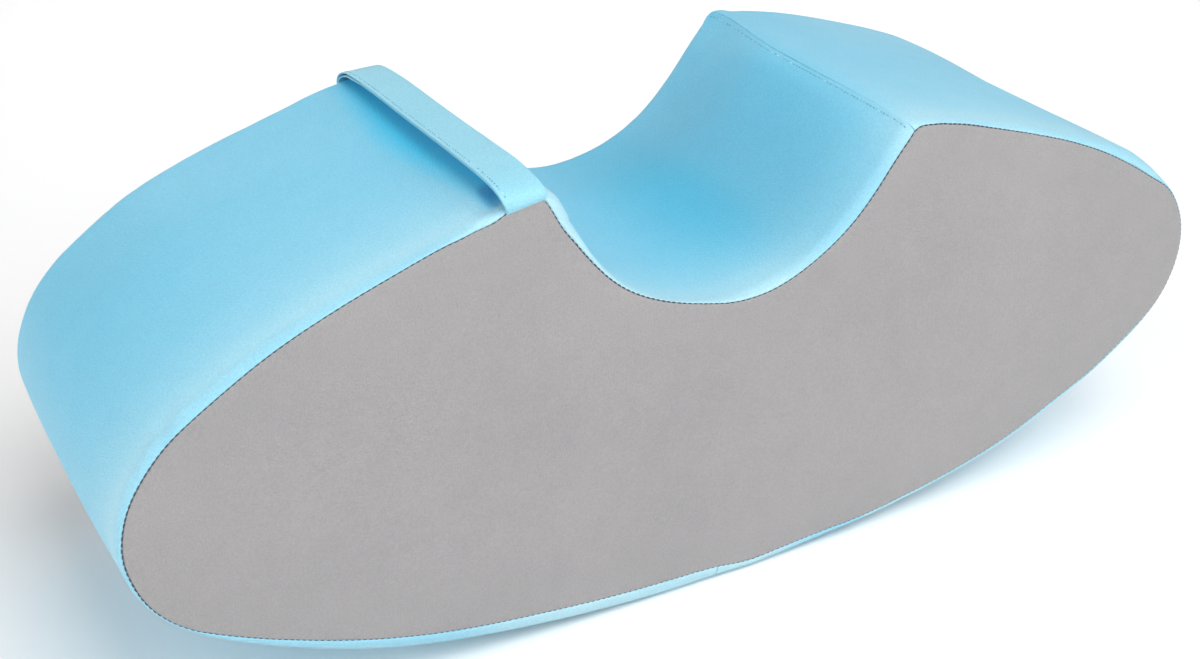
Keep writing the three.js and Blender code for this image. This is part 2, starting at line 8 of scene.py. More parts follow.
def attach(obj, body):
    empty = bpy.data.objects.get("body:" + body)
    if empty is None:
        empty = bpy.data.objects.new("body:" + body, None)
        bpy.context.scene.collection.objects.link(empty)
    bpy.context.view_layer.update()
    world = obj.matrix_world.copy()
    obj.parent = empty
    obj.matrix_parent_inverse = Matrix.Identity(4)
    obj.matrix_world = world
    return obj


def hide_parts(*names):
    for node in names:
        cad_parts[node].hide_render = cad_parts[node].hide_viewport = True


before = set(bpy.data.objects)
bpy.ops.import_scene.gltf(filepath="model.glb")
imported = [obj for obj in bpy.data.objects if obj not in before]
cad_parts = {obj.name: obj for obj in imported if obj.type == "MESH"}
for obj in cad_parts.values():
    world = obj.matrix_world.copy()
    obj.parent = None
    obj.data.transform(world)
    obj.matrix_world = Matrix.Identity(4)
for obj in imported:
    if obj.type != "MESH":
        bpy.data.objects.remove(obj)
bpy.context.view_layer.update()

# Everything below is worked out in millimetres in the CAD frame and scaled to metres when
# a mesh is made. +X along the rocker, -Y the near side, +Z up.
MM = 0.001
W = 126.6            # the two side seams lie in the planes y = -W and y = +W
EDGE = 11.4          # the cover rounds over the foam's edge within this width
LEATHER = 1.0        # thickness of the cover material
BODY = "padded_body"


# ------------------------------------------------------------------ curves
def natural(x, y, start=None, end=None):
    """Cubic spline through (x, y); y may hold vectors. Returns a function of x."""
    x = np.asarray(x, float)
    y = np.asarray(y, float)
    if y.ndim == 1:
        y = y[:, None]
    n, h = len(x), np.diff(x)
    a, b = np.zeros((n, n)), np.zeros((n, y.shape[1]))
    a[0, 0] = a[-1, -1] = 1
    if start is not None:
        a[0, 0], a[0, 1] = 2 * h[0], h[0]
        b[0] = 6 * ((y[1] - y[0]) / h[0] - np.asarray(start))
    if end is not None:
        a[-1, -1], a[-1, -2] = 2 * h[-1], h[-1]
        b[-1] = 6 * (np.asarray(end) - (y[-1] - y[-2]) / h[-1])
    for i in range(1, n - 1):
        a[i, i - 1], a[i, i], a[i, i + 1] = h[i - 1], 2 * (h[i - 1] + h[i]), h[i]
        b[i] = 6 * ((y[i + 1] - y[i]) / h[i] - (y[i] - y[i - 1]) / h[i - 1])
    m = np.linalg.solve(a, b)

    def at(q):
        q = np.atleast_1d(np.asarray(q, float))
        k = np.clip(np.searchsorted(x, q) - 1, 0, n - 2)
        u, v, g = (x[k + 1] - q)[:, None], (q - x[k])[:, None], h[k][:, None]
        return (
            m[k] * u**3 / (6 * g)
            + m[k + 1] * v**3 / (6 * g)
            + (y[k] / g - m[k] * g / 6) * u
            + (y[k + 1] / g - m[k + 1] * g / 6) * v
        )

    return at


def through(points, start=None, end=None, step=0.5):
    """A smooth plane curve through points, sampled about every step."""
    p = np.asarray(points, float)
    t = np.r_[0, np.cumsum(np.linalg.norm(np.diff(p, axis=0), axis=1))]
    q = natural(t, p, start, end)(np.linspace(0, t[-1], int(t[-1] / step) + 1))
    return q


def unit(v):
    return v / np.maximum(np.linalg.norm(v, axis=-1, keepdims=True), 1e-12)


def smooth(t):
    t = np.clip(t, 0, 1)
    return t * t * (3 - 2 * t)


# ------------------------------------------------------------------ side outline
LOWER = [
    (0, 0), (15, 0), (30, 0.12), (48, 0.8), (72, 2.35), (111, 6.05), (148.3, 11.0), (184, 17.2), (218.35, 24.8),
    (251.84, 34.7), (285.14, 47.8), (318.65, 64.2), (350.14, 83.6), (375.91, 105.9), (392.76, 131.0), (399.85, 158.0),
    (396.9, 184.7), (383.63, 211.0), (360.9, 236.0), (329.0, 258.65), (288.8, 278.3), (241.5, 295.0), (188.5, 309.1),
    (134.5, 319.2),
]
SADDLE = [
    (134.5, 319.2), (128.1, 312.0), (121.95, 304.4), (115.4, 295.8), (108.2, 286.3), (100.3, 276.1), (91.2, 265.4),
    (80.6, 254.9), (68.4, 245.3), (54.3, 237.25), (38.8, 231.05), (22.3, 226.95), (8.0, 224.8), (0, 224.4),
]
OLD_C, OLD_P = 792.4, 1929.23          # the stations of the tables below

right = through(LOWER, start=(1, 0))
saddle = through(SADDLE, end=(-1, 0))
saddle = np.vstack([saddle, (saddle[::-1] * [-1, 1])[1:]])
left = right[::-1] * [-1, 1]


def lengths(p):
    return np.r_[0, np.cumsum(np.linalg.norm(np.diff(p, axis=0), axis=1))]


class Stretch:
    """One stretch of the outline between two cross seams, with all that depends on the station s."""


def stretch(p, s0, old0, old1, corner0, corner1):
    o = Stretch()
    o.p = p
    o.s = lengths(p) + s0
    t = unit(np.gradient(p, axis=0, edge_order=2))
    o.t, o.n = t, np.c_[-t[:, 1], t[:, 0]]
    o.old = old0 + (o.s - o.s[0]) * (old1 - old0) / (o.s[-1] - o.s[0])
    o.corner = (corner0, corner1)
    return o


R = stretch(right, 0.0, 0.0, OLD_C, False, True)
S = stretch(saddle, R.s[-1], OLD_C, OLD_P - OLD_C, True, True)
L = stretch(left, S.s[-1], OLD_P - OLD_C, OLD_P, True, False)
ALL = (R, S, L)
PERIM = L.s[-1]
turn = math.acos(float(np.clip(R.t[-1] @ S.t[0], -1, 1)))
MITRE = math.tan(turn / 2)
REACH = 42.0
for o in ALL:
    m = o.n.copy()
    if o.corner[1]:
        d = o.s[-1] - o.s
        m = m - o.t * (MITRE * np.clip(1 - d / REACH, 0, 1))[:, None]
    if o.corner[0]:
        d = o.s - o.s[0]
        m = m + o.t * (MITRE * np.clip(1 - d / REACH, 0, 1))[:, None]
    o.m = m


def col(o, old, table):
    return natural([a for a, _ in table], [b for _, b in table])(old)[:, 0]


def base_at(o, old):
    i = [np.interp(old, o.old, c) for c in (o.p[:, 0], o.p[:, 1], o.n[:, 0], o.n[:, 1])]
    return np.c_[i[0], i[1]], np.c_[i[2], i[3]]


def offsets(o, plain, explicit_low=(), explicit_high=(), as_points=True, step=9.0):
    """Offset vectors from the outline: n(s) along the inward normal, and explicit places near the corners."""
    lo = explicit_low[-1][0] + 6 if explicit_low else o.old[0]
    hi = explicit_high[0][0] - 6 if explicit_high else o.old[-1]
    q = np.linspace(lo, hi, max(4, int((hi - lo) / step)))
    _, n = base_at(o, q)
    ctrl = [(a, v) for a, v in zip(q, n * plain(q)[:, None])]
    for rows, where in ((explicit_low, 0), (explicit_high, 1)):
        if rows:
            a = np.array([r[0] for r in rows], float)
            v = np.array([r[1] for r in rows], float)
            if as_points:
                v = v - base_at(o, a)[0]
            rows = list(zip(a, v))
            ctrl = rows + ctrl if where == 0 else ctrl + rows
    return natural([a for a, _ in ctrl], [v for _, v in ctrl])(o.old)


# near seam: how far in from the outline it lies, in the plane of the near side
IN_R = [
    (0, 12.4), (12, 10.4), (25, 8.7), (40, 8.5), (60, 8.9), (85, 8.5), (100, 7.7), (115, 6.6), (130, 6.0), (160, 5.8),
    (190, 5.45), (220, 5.5), (250, 5.5), (280, 6.2), (310, 6.8), (325, 6.3), (340, 5.5), (370, 5.2), (385, 4.4),
    (400, 2.9), (415, 0.9), (428, 0.1), (445, -0.4), (465, -0.8), (482, -1.0), (500, -0.6), (510, -0.2), (518, 0.5),
    (525, 1.7), (532, 3.4), (540, 5.5), (548, 6.8), (558, 7.8), (579, 9.1), (603, 9.4), (627, 9.4), (651, 9.1),
    (675, 8.8), (700, 8.1), (723, 7.0), (748, 5.4), (760, 5.2),
]
IN_S = [
    (832, 11.8), (844, 11.7), (868, 11.3), (885, 10.3), (900, 9.8), (920, 9.8), (932, 9.6), (942, 8.8), (951, 7.5),
    (960, 5.9), (970, 4.0), (980, 2.6), (990, 1.8), (1000, 1.1), (1015, 0.7), (1030, 0.55), (1047, 0.6), (1061, 0.3),
    (1075, -0.25), (1090, -0.7), (1099, -1.0), (1107, -1.1),
]
IN_L = [
    (1174, 2.1), (1180, 2.8), (1193, 3.2), (1206, 3.9), (1216, 4.6), (1228, 5.4), (1254, 6.6), (1278, 7.6), (1302, 8.4),
    (1326, 9.3), (1350, 9.8), (1375, 8.6), (1390, 7.5), (1410, 7.0), (1430, 6.4), (1450, 5.9), (1470, 4.9),
    (1490, 4.3), (1510, 3.0), (1530, 2.7), (1545, 3.3), (1560, 5.0), (1580, 7.1), (1600, 8.7), (1620, 10.0),
    (1640, 10.9), (1688, 12.4), (1736, 13.0), (1784, 14.1), (1833, 14.3), (1881, 14.3), (1912, 13.7), (1929.23, 12.4),
]
CORNER_R = [(764, (163.7, 309.0)), (776, (151.6, 310.6)), (782, (146.6, 311.0)), (785, (144.0, 310.8)),
            (788, (142.0, 310.0)), (792.4, (139.6, 308.4))]
CORNER_S0 = [(792.4, (139.6, 308.4)), (800.8, (135.0, 302.4)), (810.4, (129.9, 296.0)), (819.5, (124.9, 289.5)),
             (831.6, (118.2, 280.3))]
CORNER_S1 = [(1113, (-118.0, 302.2)), (1121, (-121.7, 309.5)), (1128, (-125.2, 315.9)), (1132.5, (-127.4, 319.2)),
             (1136.83, (-129.2, 321.0))]
CORNER_L = [(1136.83, (-129.2, 321.0)), (1141, (-133.2, 321.2)), (1146, (-139.0, 320.4)), (1152, (-147.3, 318.5)),
            (1157, (-152.8, 316.5)), (1162, (-157.6, 313.8)), (1167, (-162.8, 312.1))]

R.qn = R.p + offsets(R, lambda q: col(R, q, IN_R), (), CORNER_R)
S.qn = S.p + offsets(S, lambda q: col(S, q, IN_S), CORNER_S0, CORNER_S1)
L.qn = L.p + offsets(L, lambda q: col(L, q, IN_L), CORNER_L, ())

# near outline: where the band's or the saddle's surface lies just behind the rounded edge
R.pn = R.p + offsets(
    R, lambda q: np.interp(q, [0, 405, 428, 445, 482, 508, 524, 545, 572, 592, 612, 760],
                           [0, 0, -0.8, -1.4, -2.0, -1.6, -1.2, -1.3, -1.2, -0.5, 0, 0]),
    (), [(718, (0.0, 0.0)), (752, (0.1, -0.6)), (775, (0.5, -1.6)), (792.4, (2.0, -3.8))], as_points=False)
S.pn = S.p + offsets(
    S, lambda q: np.interp(q, [862, 960, 975, 990, 1010, 1030, 1045, 1060, 1075, 1090, 1107],
                           [0, 0, -0.3, -1.0, -1.8, -2.6, -3.4, -4.4, -5.7, -7.6, -9.9]),
    [(792.4, (2.0, -3.8)), (806, (1.9, -1.7)), (830, (0.9, -0.7)), (856, (0.1, 0.0))],
    [(1113, (12.0, 1.9)), (1121, (12.6, 4.2)), (1125, (12.2, 6.2)), (1129, (10.4, 7.5)), (1133, (6.4, 6.6)),
     (1136.83, (2.6, 4.2))], as_points=False)
L.pn = L.p + offsets(
    L, lambda q: 0 * q,
    [(1136.83, (2.6, 4.2)), (1146, (3.4, 5.6)), (1157, (3.2, 5.2)), (1167, (2.3, 4.0)), (1180, (1.2, 2.0)),
     (1200, (0.2, 0.4)), (1222, (0, 0))], (), as_points=False)

# the cover is crowned across its width, so it falls off more and more towards the near edge
R.pn += R.n * (np.interp(R.old, [0, 548, 566, 582, 606, 651, 700, 723, 748, 765, 780, 792.4],
                         [0, 0, 0.2, 1.0, 2.4, 3.9, 3.5, 2.9, 1.9, 1.2, 0.7, 0.4]))[:, None]
S.pn += S.n * (np.interp(S.old, [792.4, 806, 830, 868, 900, 932, 951, 962, 975, 990, 1005, 1040, 1100, 1136.83],
                         [0.4, 2.0, 3.9, 4.7, 4.4, 4.2, 3.4, 2.8, 2.2, 2.0, 1.95, 1.8, 0.5, 0]))[:, None]
L.pn += L.n * (np.interp(L.old, [1136.83, 1180, 1206, 1228, 1254, 1278, 1302, 1326, 1350, 1375, 1400, 1430, 1500, 1560, 1929.23],
                         [0, 0.6, 1.6, 2.4, 3.0, 3.5, 3.8, 4.2, 4.4, 3.9, 3.0, 2.2, 1.2, 0, 0]))[:, None]

# how softly the cover turns into the near seam: 0 a quarter round, 1 a crown that steepens up to the seam
SOFT = {"R": ([0, 545, 590, 800], [0, 0, 1, 1]), "S": ([0, 955, 990, 2000], [1, 1, 0, 0]),
        "L": ([0, 1185, 1230, 1395, 1440, 2000], [0, 0, 1, 1, 0, 0])}
for o, key in ((R, "R"), (S, "S"), (L, "L")):
    o.soft = np.interp(o.old, *SOFT[key])


# middle of the width: the foam rounds the two crests, and the seam lies where the round begins
def round_crest(o, d, side, gain):
    along = np.interp(d, [0, 3, 6, 9, 12, 16, 22], [2.74, 2.2, 1.6, 1.0, 0.6, 0.2, 0]) * side
    out = np.interp(d, [0, 3, 6, 9, 12, 16, 22, 30, 45, 65, 90, 110], [-0.83, 0.9, 2.2, 3.1, 3.7, 4.1, 4.1, 3.6, 2.6, 1.4, 0.4, 0])
    out = np.where(d < 3, out, out * gain + 0.9 * (1 - gain) * np.clip(1 - (d - 3) / 20, 0, 1))
    return o.t * along[:, None] - o.n * out[:, None]


def round_band(d, side):
    return np.c_[-side * np.interp(d, [0, 4, 8.5, 16], [1.2, 0.7, 0.3, 0]), -np.interp(d, [0, 4, 8.5, 16], [2.6, 1.3, 0.45, 0])]


S.pm = S.p + round_crest(S, S.s - S.s[0], 1, 1.0) + round_crest(S, S.s[-1] - S.s, -1, 0.8)
R.pm = R.p + round_band(R.s[-1] - R.s, 1) + R.n * (1.9 * np.exp(-((R.old - 592) / 26) ** 2))[:, None]
L.pm = L.p + round_band(L.s - L.s[0], -1)

# far side: its seam is mostly out of sight, and its outline is the upper silhouette
FAR_R = [
    (0, 0), (480, 0.2), (522, 0.1), (534, -0.4), (546, -1.4), (558, -1.9), (570, -2.0), (582, -1.6), (594, -1.1),
    (606, -0.8), (618, -0.3), (630, 0.2), (654, 0.9), (678, 1.0), (702, 0.6), (738, 0.3), (754, 0.5),
]
FAR_S = [
    (831, 5.6), (867, 5.7), (891, 5.7), (915, 5.6), (927, 5.3), (939, 4.8), (951, 4.2), (963, 3.6), (990, 2.8),
    (1020, 2.1), (1060, 1.6), (1100, 0.8), (1107, 0.6),
]
FAR_L = [
    (1143, 0), (1177, 0.1), (1187, 0.9), (1199, 2.3), (1211, 2.9), (1223, 3.3), (1247, 3.1), (1271, 3.2), (1295, 2.9),
    (1319, 2.7), (1331, 3.1), (1343, 4.1), (1355, 4.7), (1367, 4.5), (1379, 3.6), (1391, 2.9), (1403, 2.5), (1415, 2.5),
    (1427, 2.7), (1439, 2.8), (1451, 2.3), (1463, 1.7), (1475, 1.1), (1499, 0.7), (1523, 0.5), (1570, 0), (1929.23, 0),
]
R.pf = R.p + offsets(R, lambda q: col(R, q, FAR_R), (), [(766, (1.5, -1.2)), (776, (3.6, -2.1)), (786, (6.4, -3.0)),
                                                         (792.4, (8.6, -3.4))], as_points=False)
S.pf = S.p + offsets(S, lambda q: col(S, q, FAR_S), [(792.4, (8.6, -3.4)), (796, (8.5, -3.8)), (807, (6.9, -3.7)),
                                                     (819, (5.3, -3.5))], [(1120, (0.2, -0.2)), (1136.83, (0, 0))],
                     as_points=False)
L.pf = L.p + offsets(L, lambda q: col(L, q, FAR_L))
FAR_IN = lambda q: 8.6 + 0.8 * np.sin(q / OLD_P * 6 * math.pi + 0.6) + 0.5 * np.sin(q / OLD_P * 14 * math.pi)
FAR_IN_R = lambda q: FAR_IN(q) + (7.0 - FAR_IN(q)) * smooth((q - 690) / 70)
FAR_IN_S = lambda q: 10.6 + 0.5 * np.sin(q / 31.0) - 1.3 * smooth((q - 1030) / 60)
FAR_IN_L = lambda q: 6.4 + (FAR_IN(q) - 6.4) * smooth((q - 1170) / 70)
R.qf = R.p + offsets(R, FAR_IN_R, (), [(776, (151.8, 311.9)), (784.5, (144.6, 312.8)), (788.5, (141.6, 311.9)),
                                       (792.4, (139.0, 309.8))])
S.qf = S.p + offsets(S, FAR_IN_S, [(792.4, (139.0, 309.8)), (800.8, (134.7, 303.6)), (810.4, (129.7, 296.8)),
                                   (819.5, (124.9, 290.0)), (831.6, (118.6, 281.2))],
                     [(1119, (-121.0, 298.8)), (1128, (-126.3, 306.2)), (1136.83, (-131.5, 313.2))])
L.qf = L.p + offsets(L, FAR_IN_L, [(1136.83, (-131.5, 313.2)), (1142, (-136.8, 313.7)), (1150, (-145.0, 312.2)),
                                   (1160, (-155.2, 309.3))])


def at(o, s):
    """All station values at s."""
    s = np.atleast_1d(s)
    names = ("p", "n", "m", "t", "qn", "pn", "qf", "pf", "pm")
    out = {k: np.c_[np.interp(s, o.s, getattr(o, k)[:, 0]), np.interp(s, o.s, getattr(o, k)[:, 1])] for k in names}
    out["soft"] = np.interp(s, o.s, o.soft)
    return out


# ------------------------------------------------------------------ mesh helpers
def grid_faces(i, k, wrap=False, flip=False):
    a = np.arange(i * k).reshape(i, k)
    b = np.roll(a, -1, 0) if wrap else a[1:]
    a0 = a if wrap else a[:-1]
    f = np.stack([a0[:, :-1], b[:, :-1], b[:, 1:], a0[:, 1:]], -1).reshape(-1, 4)
    return f[:, ::-1] if flip else f


def as_tris(faces):
    out = []
    for f in faces:
        f = [int(v) for v in f]
        for k in range(1, len(f) - 1):
            out.append((f[0], f[k], f[k + 1]))
    return np.array(out, int)


def vertex_normals(v, faces):
    t = as_tris(faces)
    c = np.cross(v[t[:, 1]] - v[t[:, 0]], v[t[:, 2]] - v[t[:, 0]])
    n = np.zeros_like(v)
    for k in range(3):
        np.add.at(n, t[:, k], c)
    return unit(n)


def volume(v, faces):
    t = as_tris(faces)
    return float(np.einsum("ij,ij->i", v[t[:, 0]], np.cross(v[t[:, 1]], v[t[:, 2]])).sum() / 6)


def shell(v, faces, thick):
    """A closed sheet: the outer surface v, faces, an inner copy and the rim between them."""
    faces = [tuple(int(x) for x in f) for f in faces]
    n = vertex_normals(v, faces)
    inner = v - n * thick
    k = len(v)
    count = {}
    for f in faces:
        for a, b in zip(f, f[1:] + f[:1]):
            count[(a, b)] = count.get((a, b), 0) + 1
    rim = [(b, a, a + k, b + k) for (a, b) in count if (b, a) not in count]
    allv = np.vstack([v, inner])
    allf = faces + [tuple(x + k for x in f[::-1]) for f in faces] + rim
    return allv, allf


def piece(name, v, faces, mat, body=BODY, replaces=(), mats=None, flat=False):
    faces = [tuple(int(x) for x in f) for f in faces]
    if volume(v, faces) < 0:
        faces = [f[::-1] for f in faces]
    me = bpy.data.meshes.new(name)
    me.from_pydata([tuple(p) for p in (np.asarray(v) * MM)], [], faces)
    me.validate()
    me.update()
    if not flat:
        me.polygons.foreach_set("use_smooth", [True] * len(me.polygons))
    ob = bpy.data.objects.new(name, me)
    bpy.context.scene.collection.objects.link(ob)
    me.materials.append(mat)
    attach(ob, body)
    if replaces:
        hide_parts(*replaces)
    return ob


def tube(path, radius, sides=6, normal=(0, 0, 1), flat=1.0, tips=True):
    """A closed tube along path with pinched ends. radius may vary."""
    p = np.asarray(path, float)
    r = np.broadcast_to(np.asarray(radius, float), (len(p),))
    t = unit(np.gradient(p, axis=0))
    nr = np.broadcast_to(np.asarray(normal, float), p.shape)
    a = unit(np.cross(t, nr))
    b = np.cross(a, t)
    ang = np.arange(sides) * 2 * math.pi / sides
    ring = (a[:, None, :] * np.cos(ang)[None, :, None] + b[:, None, :] * np.sin(ang)[None, :, None] * flat)
    v = (p[:, None, :] + ring * r[:, None, None]).reshape(-1, 3)
    faces = []
    for i in range(len(p) - 1):
        for k in range(sides):
            l = (k + 1) % sides
            faces.append((i * sides + k, i * sides + l, (i + 1) * sides + l, (i + 1) * sides + k))
    base = len(v)
    if tips:
        v = np.vstack([v, p[0] - t[0] * r[0] * 0.6, p[-1] + t[-1] * r[-1] * 0.6])
        for k in range(sides):
            l = (k + 1) % sides
            faces.append((base, l, k))
            faces.append((base + 1, (len(p) - 1) * sides + k, (len(p) - 1) * sides + l))
    else:
        faces.append(tuple(range(sides))[::-1])
        faces.append(tuple((len(p) - 1) * sides + k for k in range(sides)))
    return v, faces


def join(parts):
    vs, fs, k = [], [], 0
    for v, f in parts:
        vs.append(np.asarray(v, float))
        fs += [tuple(int(x) + k for x in g) for g in f]
        k += len(v)
    return np.vstack(vs), fs


# ------------------------------------------------------------------ cover contour
def blend_y(y, pn, p, pf, soft=0.0):
    """Outline at depth y: the near outline, the even outline of the middle and the far outline."""
    even = 1 - smooth((y + W - EDGE) / 100.0)
    far_off = W - EDGE
    crown = 0.5 * np.clip((20 - y) / (far_off + 20), 0, 1) ** 2 + 0.5 * np.clip((-55 - y) / (far_off - 55), 0, 1) ** 2
    a = even * (1 - soft) + crown * soft
    b = smooth((y - 22) / (W - EDGE - 22))
    return pn * a + p * (1 - a - b) + pf * b


def edge_drop(c, soft):
    """Share of the way down to the seam at c, 0 behind the edge and 1 at the seam."""
    return (1 - soft) * (1 - np.sqrt(np.maximum(0.0, 1 - c * c))) + soft * (0.3 * c + 0.7 * c**2.6)


MID = np.r_[
    -(W - EDGE) + np.array([0, 2.2, 5, 8.5, 12.5, 17, 22.5, 29, 36, 44, 53, 63, 74, 86, 99]), -8, 0, 8,
    (W - EDGE) - np.array([99, 86, 74, 63, 53, 44, 36, 29, 22.5, 17, 12.5, 8.5, 5, 2.2, 0]),
]
ROLL = 1.25
LIPS = (5.2, 3.2, 1.9)
ANG = np.radians(np.linspace(0, 90, 181))


def edge_points(P, Q, m, sign, shift=0.12, soft=0.0):
    """From the lip, over the rolled seam edge and round the foam's edge: arrays (points, 3).
    P is the outline behind the edge, Q the seam, both (x, z); sign is -1 near, +1 far."""
    E = Q - P
    e = float(np.linalg.norm(E))
    mh = m / np.linalg.norm(m)
    qs = Q - mh * shift
    E = qs - P
    th = ANG
    xz = P + E * edge_drop(np.cos(th), soft)[:, None]
    y = sign * (W - EDGE * (1 - np.cos(th)))
    c = np.c_[xz[:, 0], y, xz[:, 1]]
    seg = np.r_[0, np.cumsum(np.linalg.norm(np.diff(c, axis=0), axis=1))]
    a = 0.34 + 0.34 * math.exp(-e / 2.5)
    b = math.sqrt(1 - a * a)
    lip = np.array([mh[0] * a, -sign * b, mh[1] * a])
    q3 = np.array([qs[0], sign * W, qs[1]])
    take = lambda dist: np.array([np.interp(dist, seg, c[:, k]) for k in range(3)])
    start, stop = q3 + lip * ROLL, take(ROLL)
    pts = [q3 + lip * u for u in LIPS] + [start]
    for t in (0.25, 0.5, 0.75, 1.0):
        pts.append(start * (1 - t) ** 2 + q3 * 2 * t * (1 - t) + stop * t * t)
    rest = np.linspace(ROLL, seg[-1], 11)[1:-1]
    pts += [take(u) for u in rest]
    return np.array(pts), lip


EDGE_N = 3 + 1 + 4 + 9


def panel(o, s_list, dep_list, relief=None):
    """Rows of cover points for stations s; dep sinks a whole row, for the rolled ends at cross seams."""
    st = at(o, s_list)
    rows = []
    for i, s in enumerate(s_list):
        near, _ = edge_points(st["pn"][i], st["qn"][i], st["m"][i], -1, soft=st["soft"][i])
        far, _ = edge_points(st["pf"][i], st["qf"][i], st["m"][i], 1)
        xz = np.array([blend_y(y, st["pn"][i], st["pm"][i], st["pf"][i], st["soft"][i]) for y in MID])
        edge = np.clip((np.abs(MID) - 62) / (W - EDGE - 62), 0, 1)
        droop = 0.9 * edge**2 * np.clip((xz[:, 1] - 6) / 30, 0, 1)
        mh = st["m"][i] / np.linalg.norm(st["m"][i])
        mid = np.c_[xz[:, 0] + mh[0] * droop, MID, xz[:, 1] + mh[1] * droop]
        near[EDGE_N - 9:, ::2] += mh * (0.9 * np.clip((st["p"][i][1] - 6) / 30, 0, 1) * np.linspace(0.1, 0.92, 9)[:, None])
        far[EDGE_N - 9:, ::2] += mh * (0.9 * np.clip((st["p"][i][1] - 6) / 30, 0, 1) * np.linspace(0.1, 0.92, 9)[:, None])
        row = np.vstack([near, mid, far[::-1]])
        d = dep_list[i]
        if d > 0:
            row[:, 0] += st["m"][i][0] * d
            row[:, 2] += st["m"][i][1] * d
            row[:, 1] *= 1 - 0.016 * d
        rows.append(row)
    g = np.array(rows)
    return g


def stations(o, step, end_in):
    """(s, dep) along a stretch: evenly spaced, and rolled in at both ends."""
    a, b = o.s[0], o.s[-1]
    roll = [(0.06, 2.4), (0.06, 1.2)]
    for t in (0.0, 0.25, 0.5, 0.75, 1.0):
        roll.append((0.06 + 0.85 * t * t, 0.85 * (1 - t) ** 2))
    near = [1.5, 2.2, 3.0, 3.6, 4.2, 4.8, 5.6, 6.7, 8.2]
    out = [(a + d, dep) for d, dep in roll] + [(a + d, 0.0) for d in near]
    n = max(2, int((b - a - 2 * 8.2) / step))
    out += [(a + 8.2 + (b - a - 16.4) * k / n, 0.0) for k in range(1, n)]
    out += [(b - d, 0.0) for d in near[::-1]] + [(b - d, dep) for d, dep in roll[::-1]]
    return np.array([q[0] for q in out]), np.array([q[1] for q in out])


def wave(s, seed, scale):
    """Even, repeatable noise along the outline."""
    return np.array([noise.noise(Vector((float(q) / scale, seed * 3.7, 0.5))) for q in np.atleast_1d(s)])


def puckers(s, v, end_gain, seed):
    """Small ripples that run off a side seam: s station, v distance from the seam."""
    a = wave(s, seed, 9.0) * 0.7 + wave(s, seed + 5, 4.5) * 0.3
    return a * end_gain * np.exp(-v / 7.0) * smooth(v / 2.5)


def strength(o, s):
    """Where the cover is eased or pulled most: round the two ends and beside the strap."""
    old = np.interp(s, o.s, o.old)
    g = 0.45 + 1.25 * np.exp(-((old - 1445) / 80) ** 2) + 0.7 * np.exp(-((old - 480) / 90) ** 2)
    g += 0.5 * np.exp(-((old - 1600) / 120) ** 2)
    return g


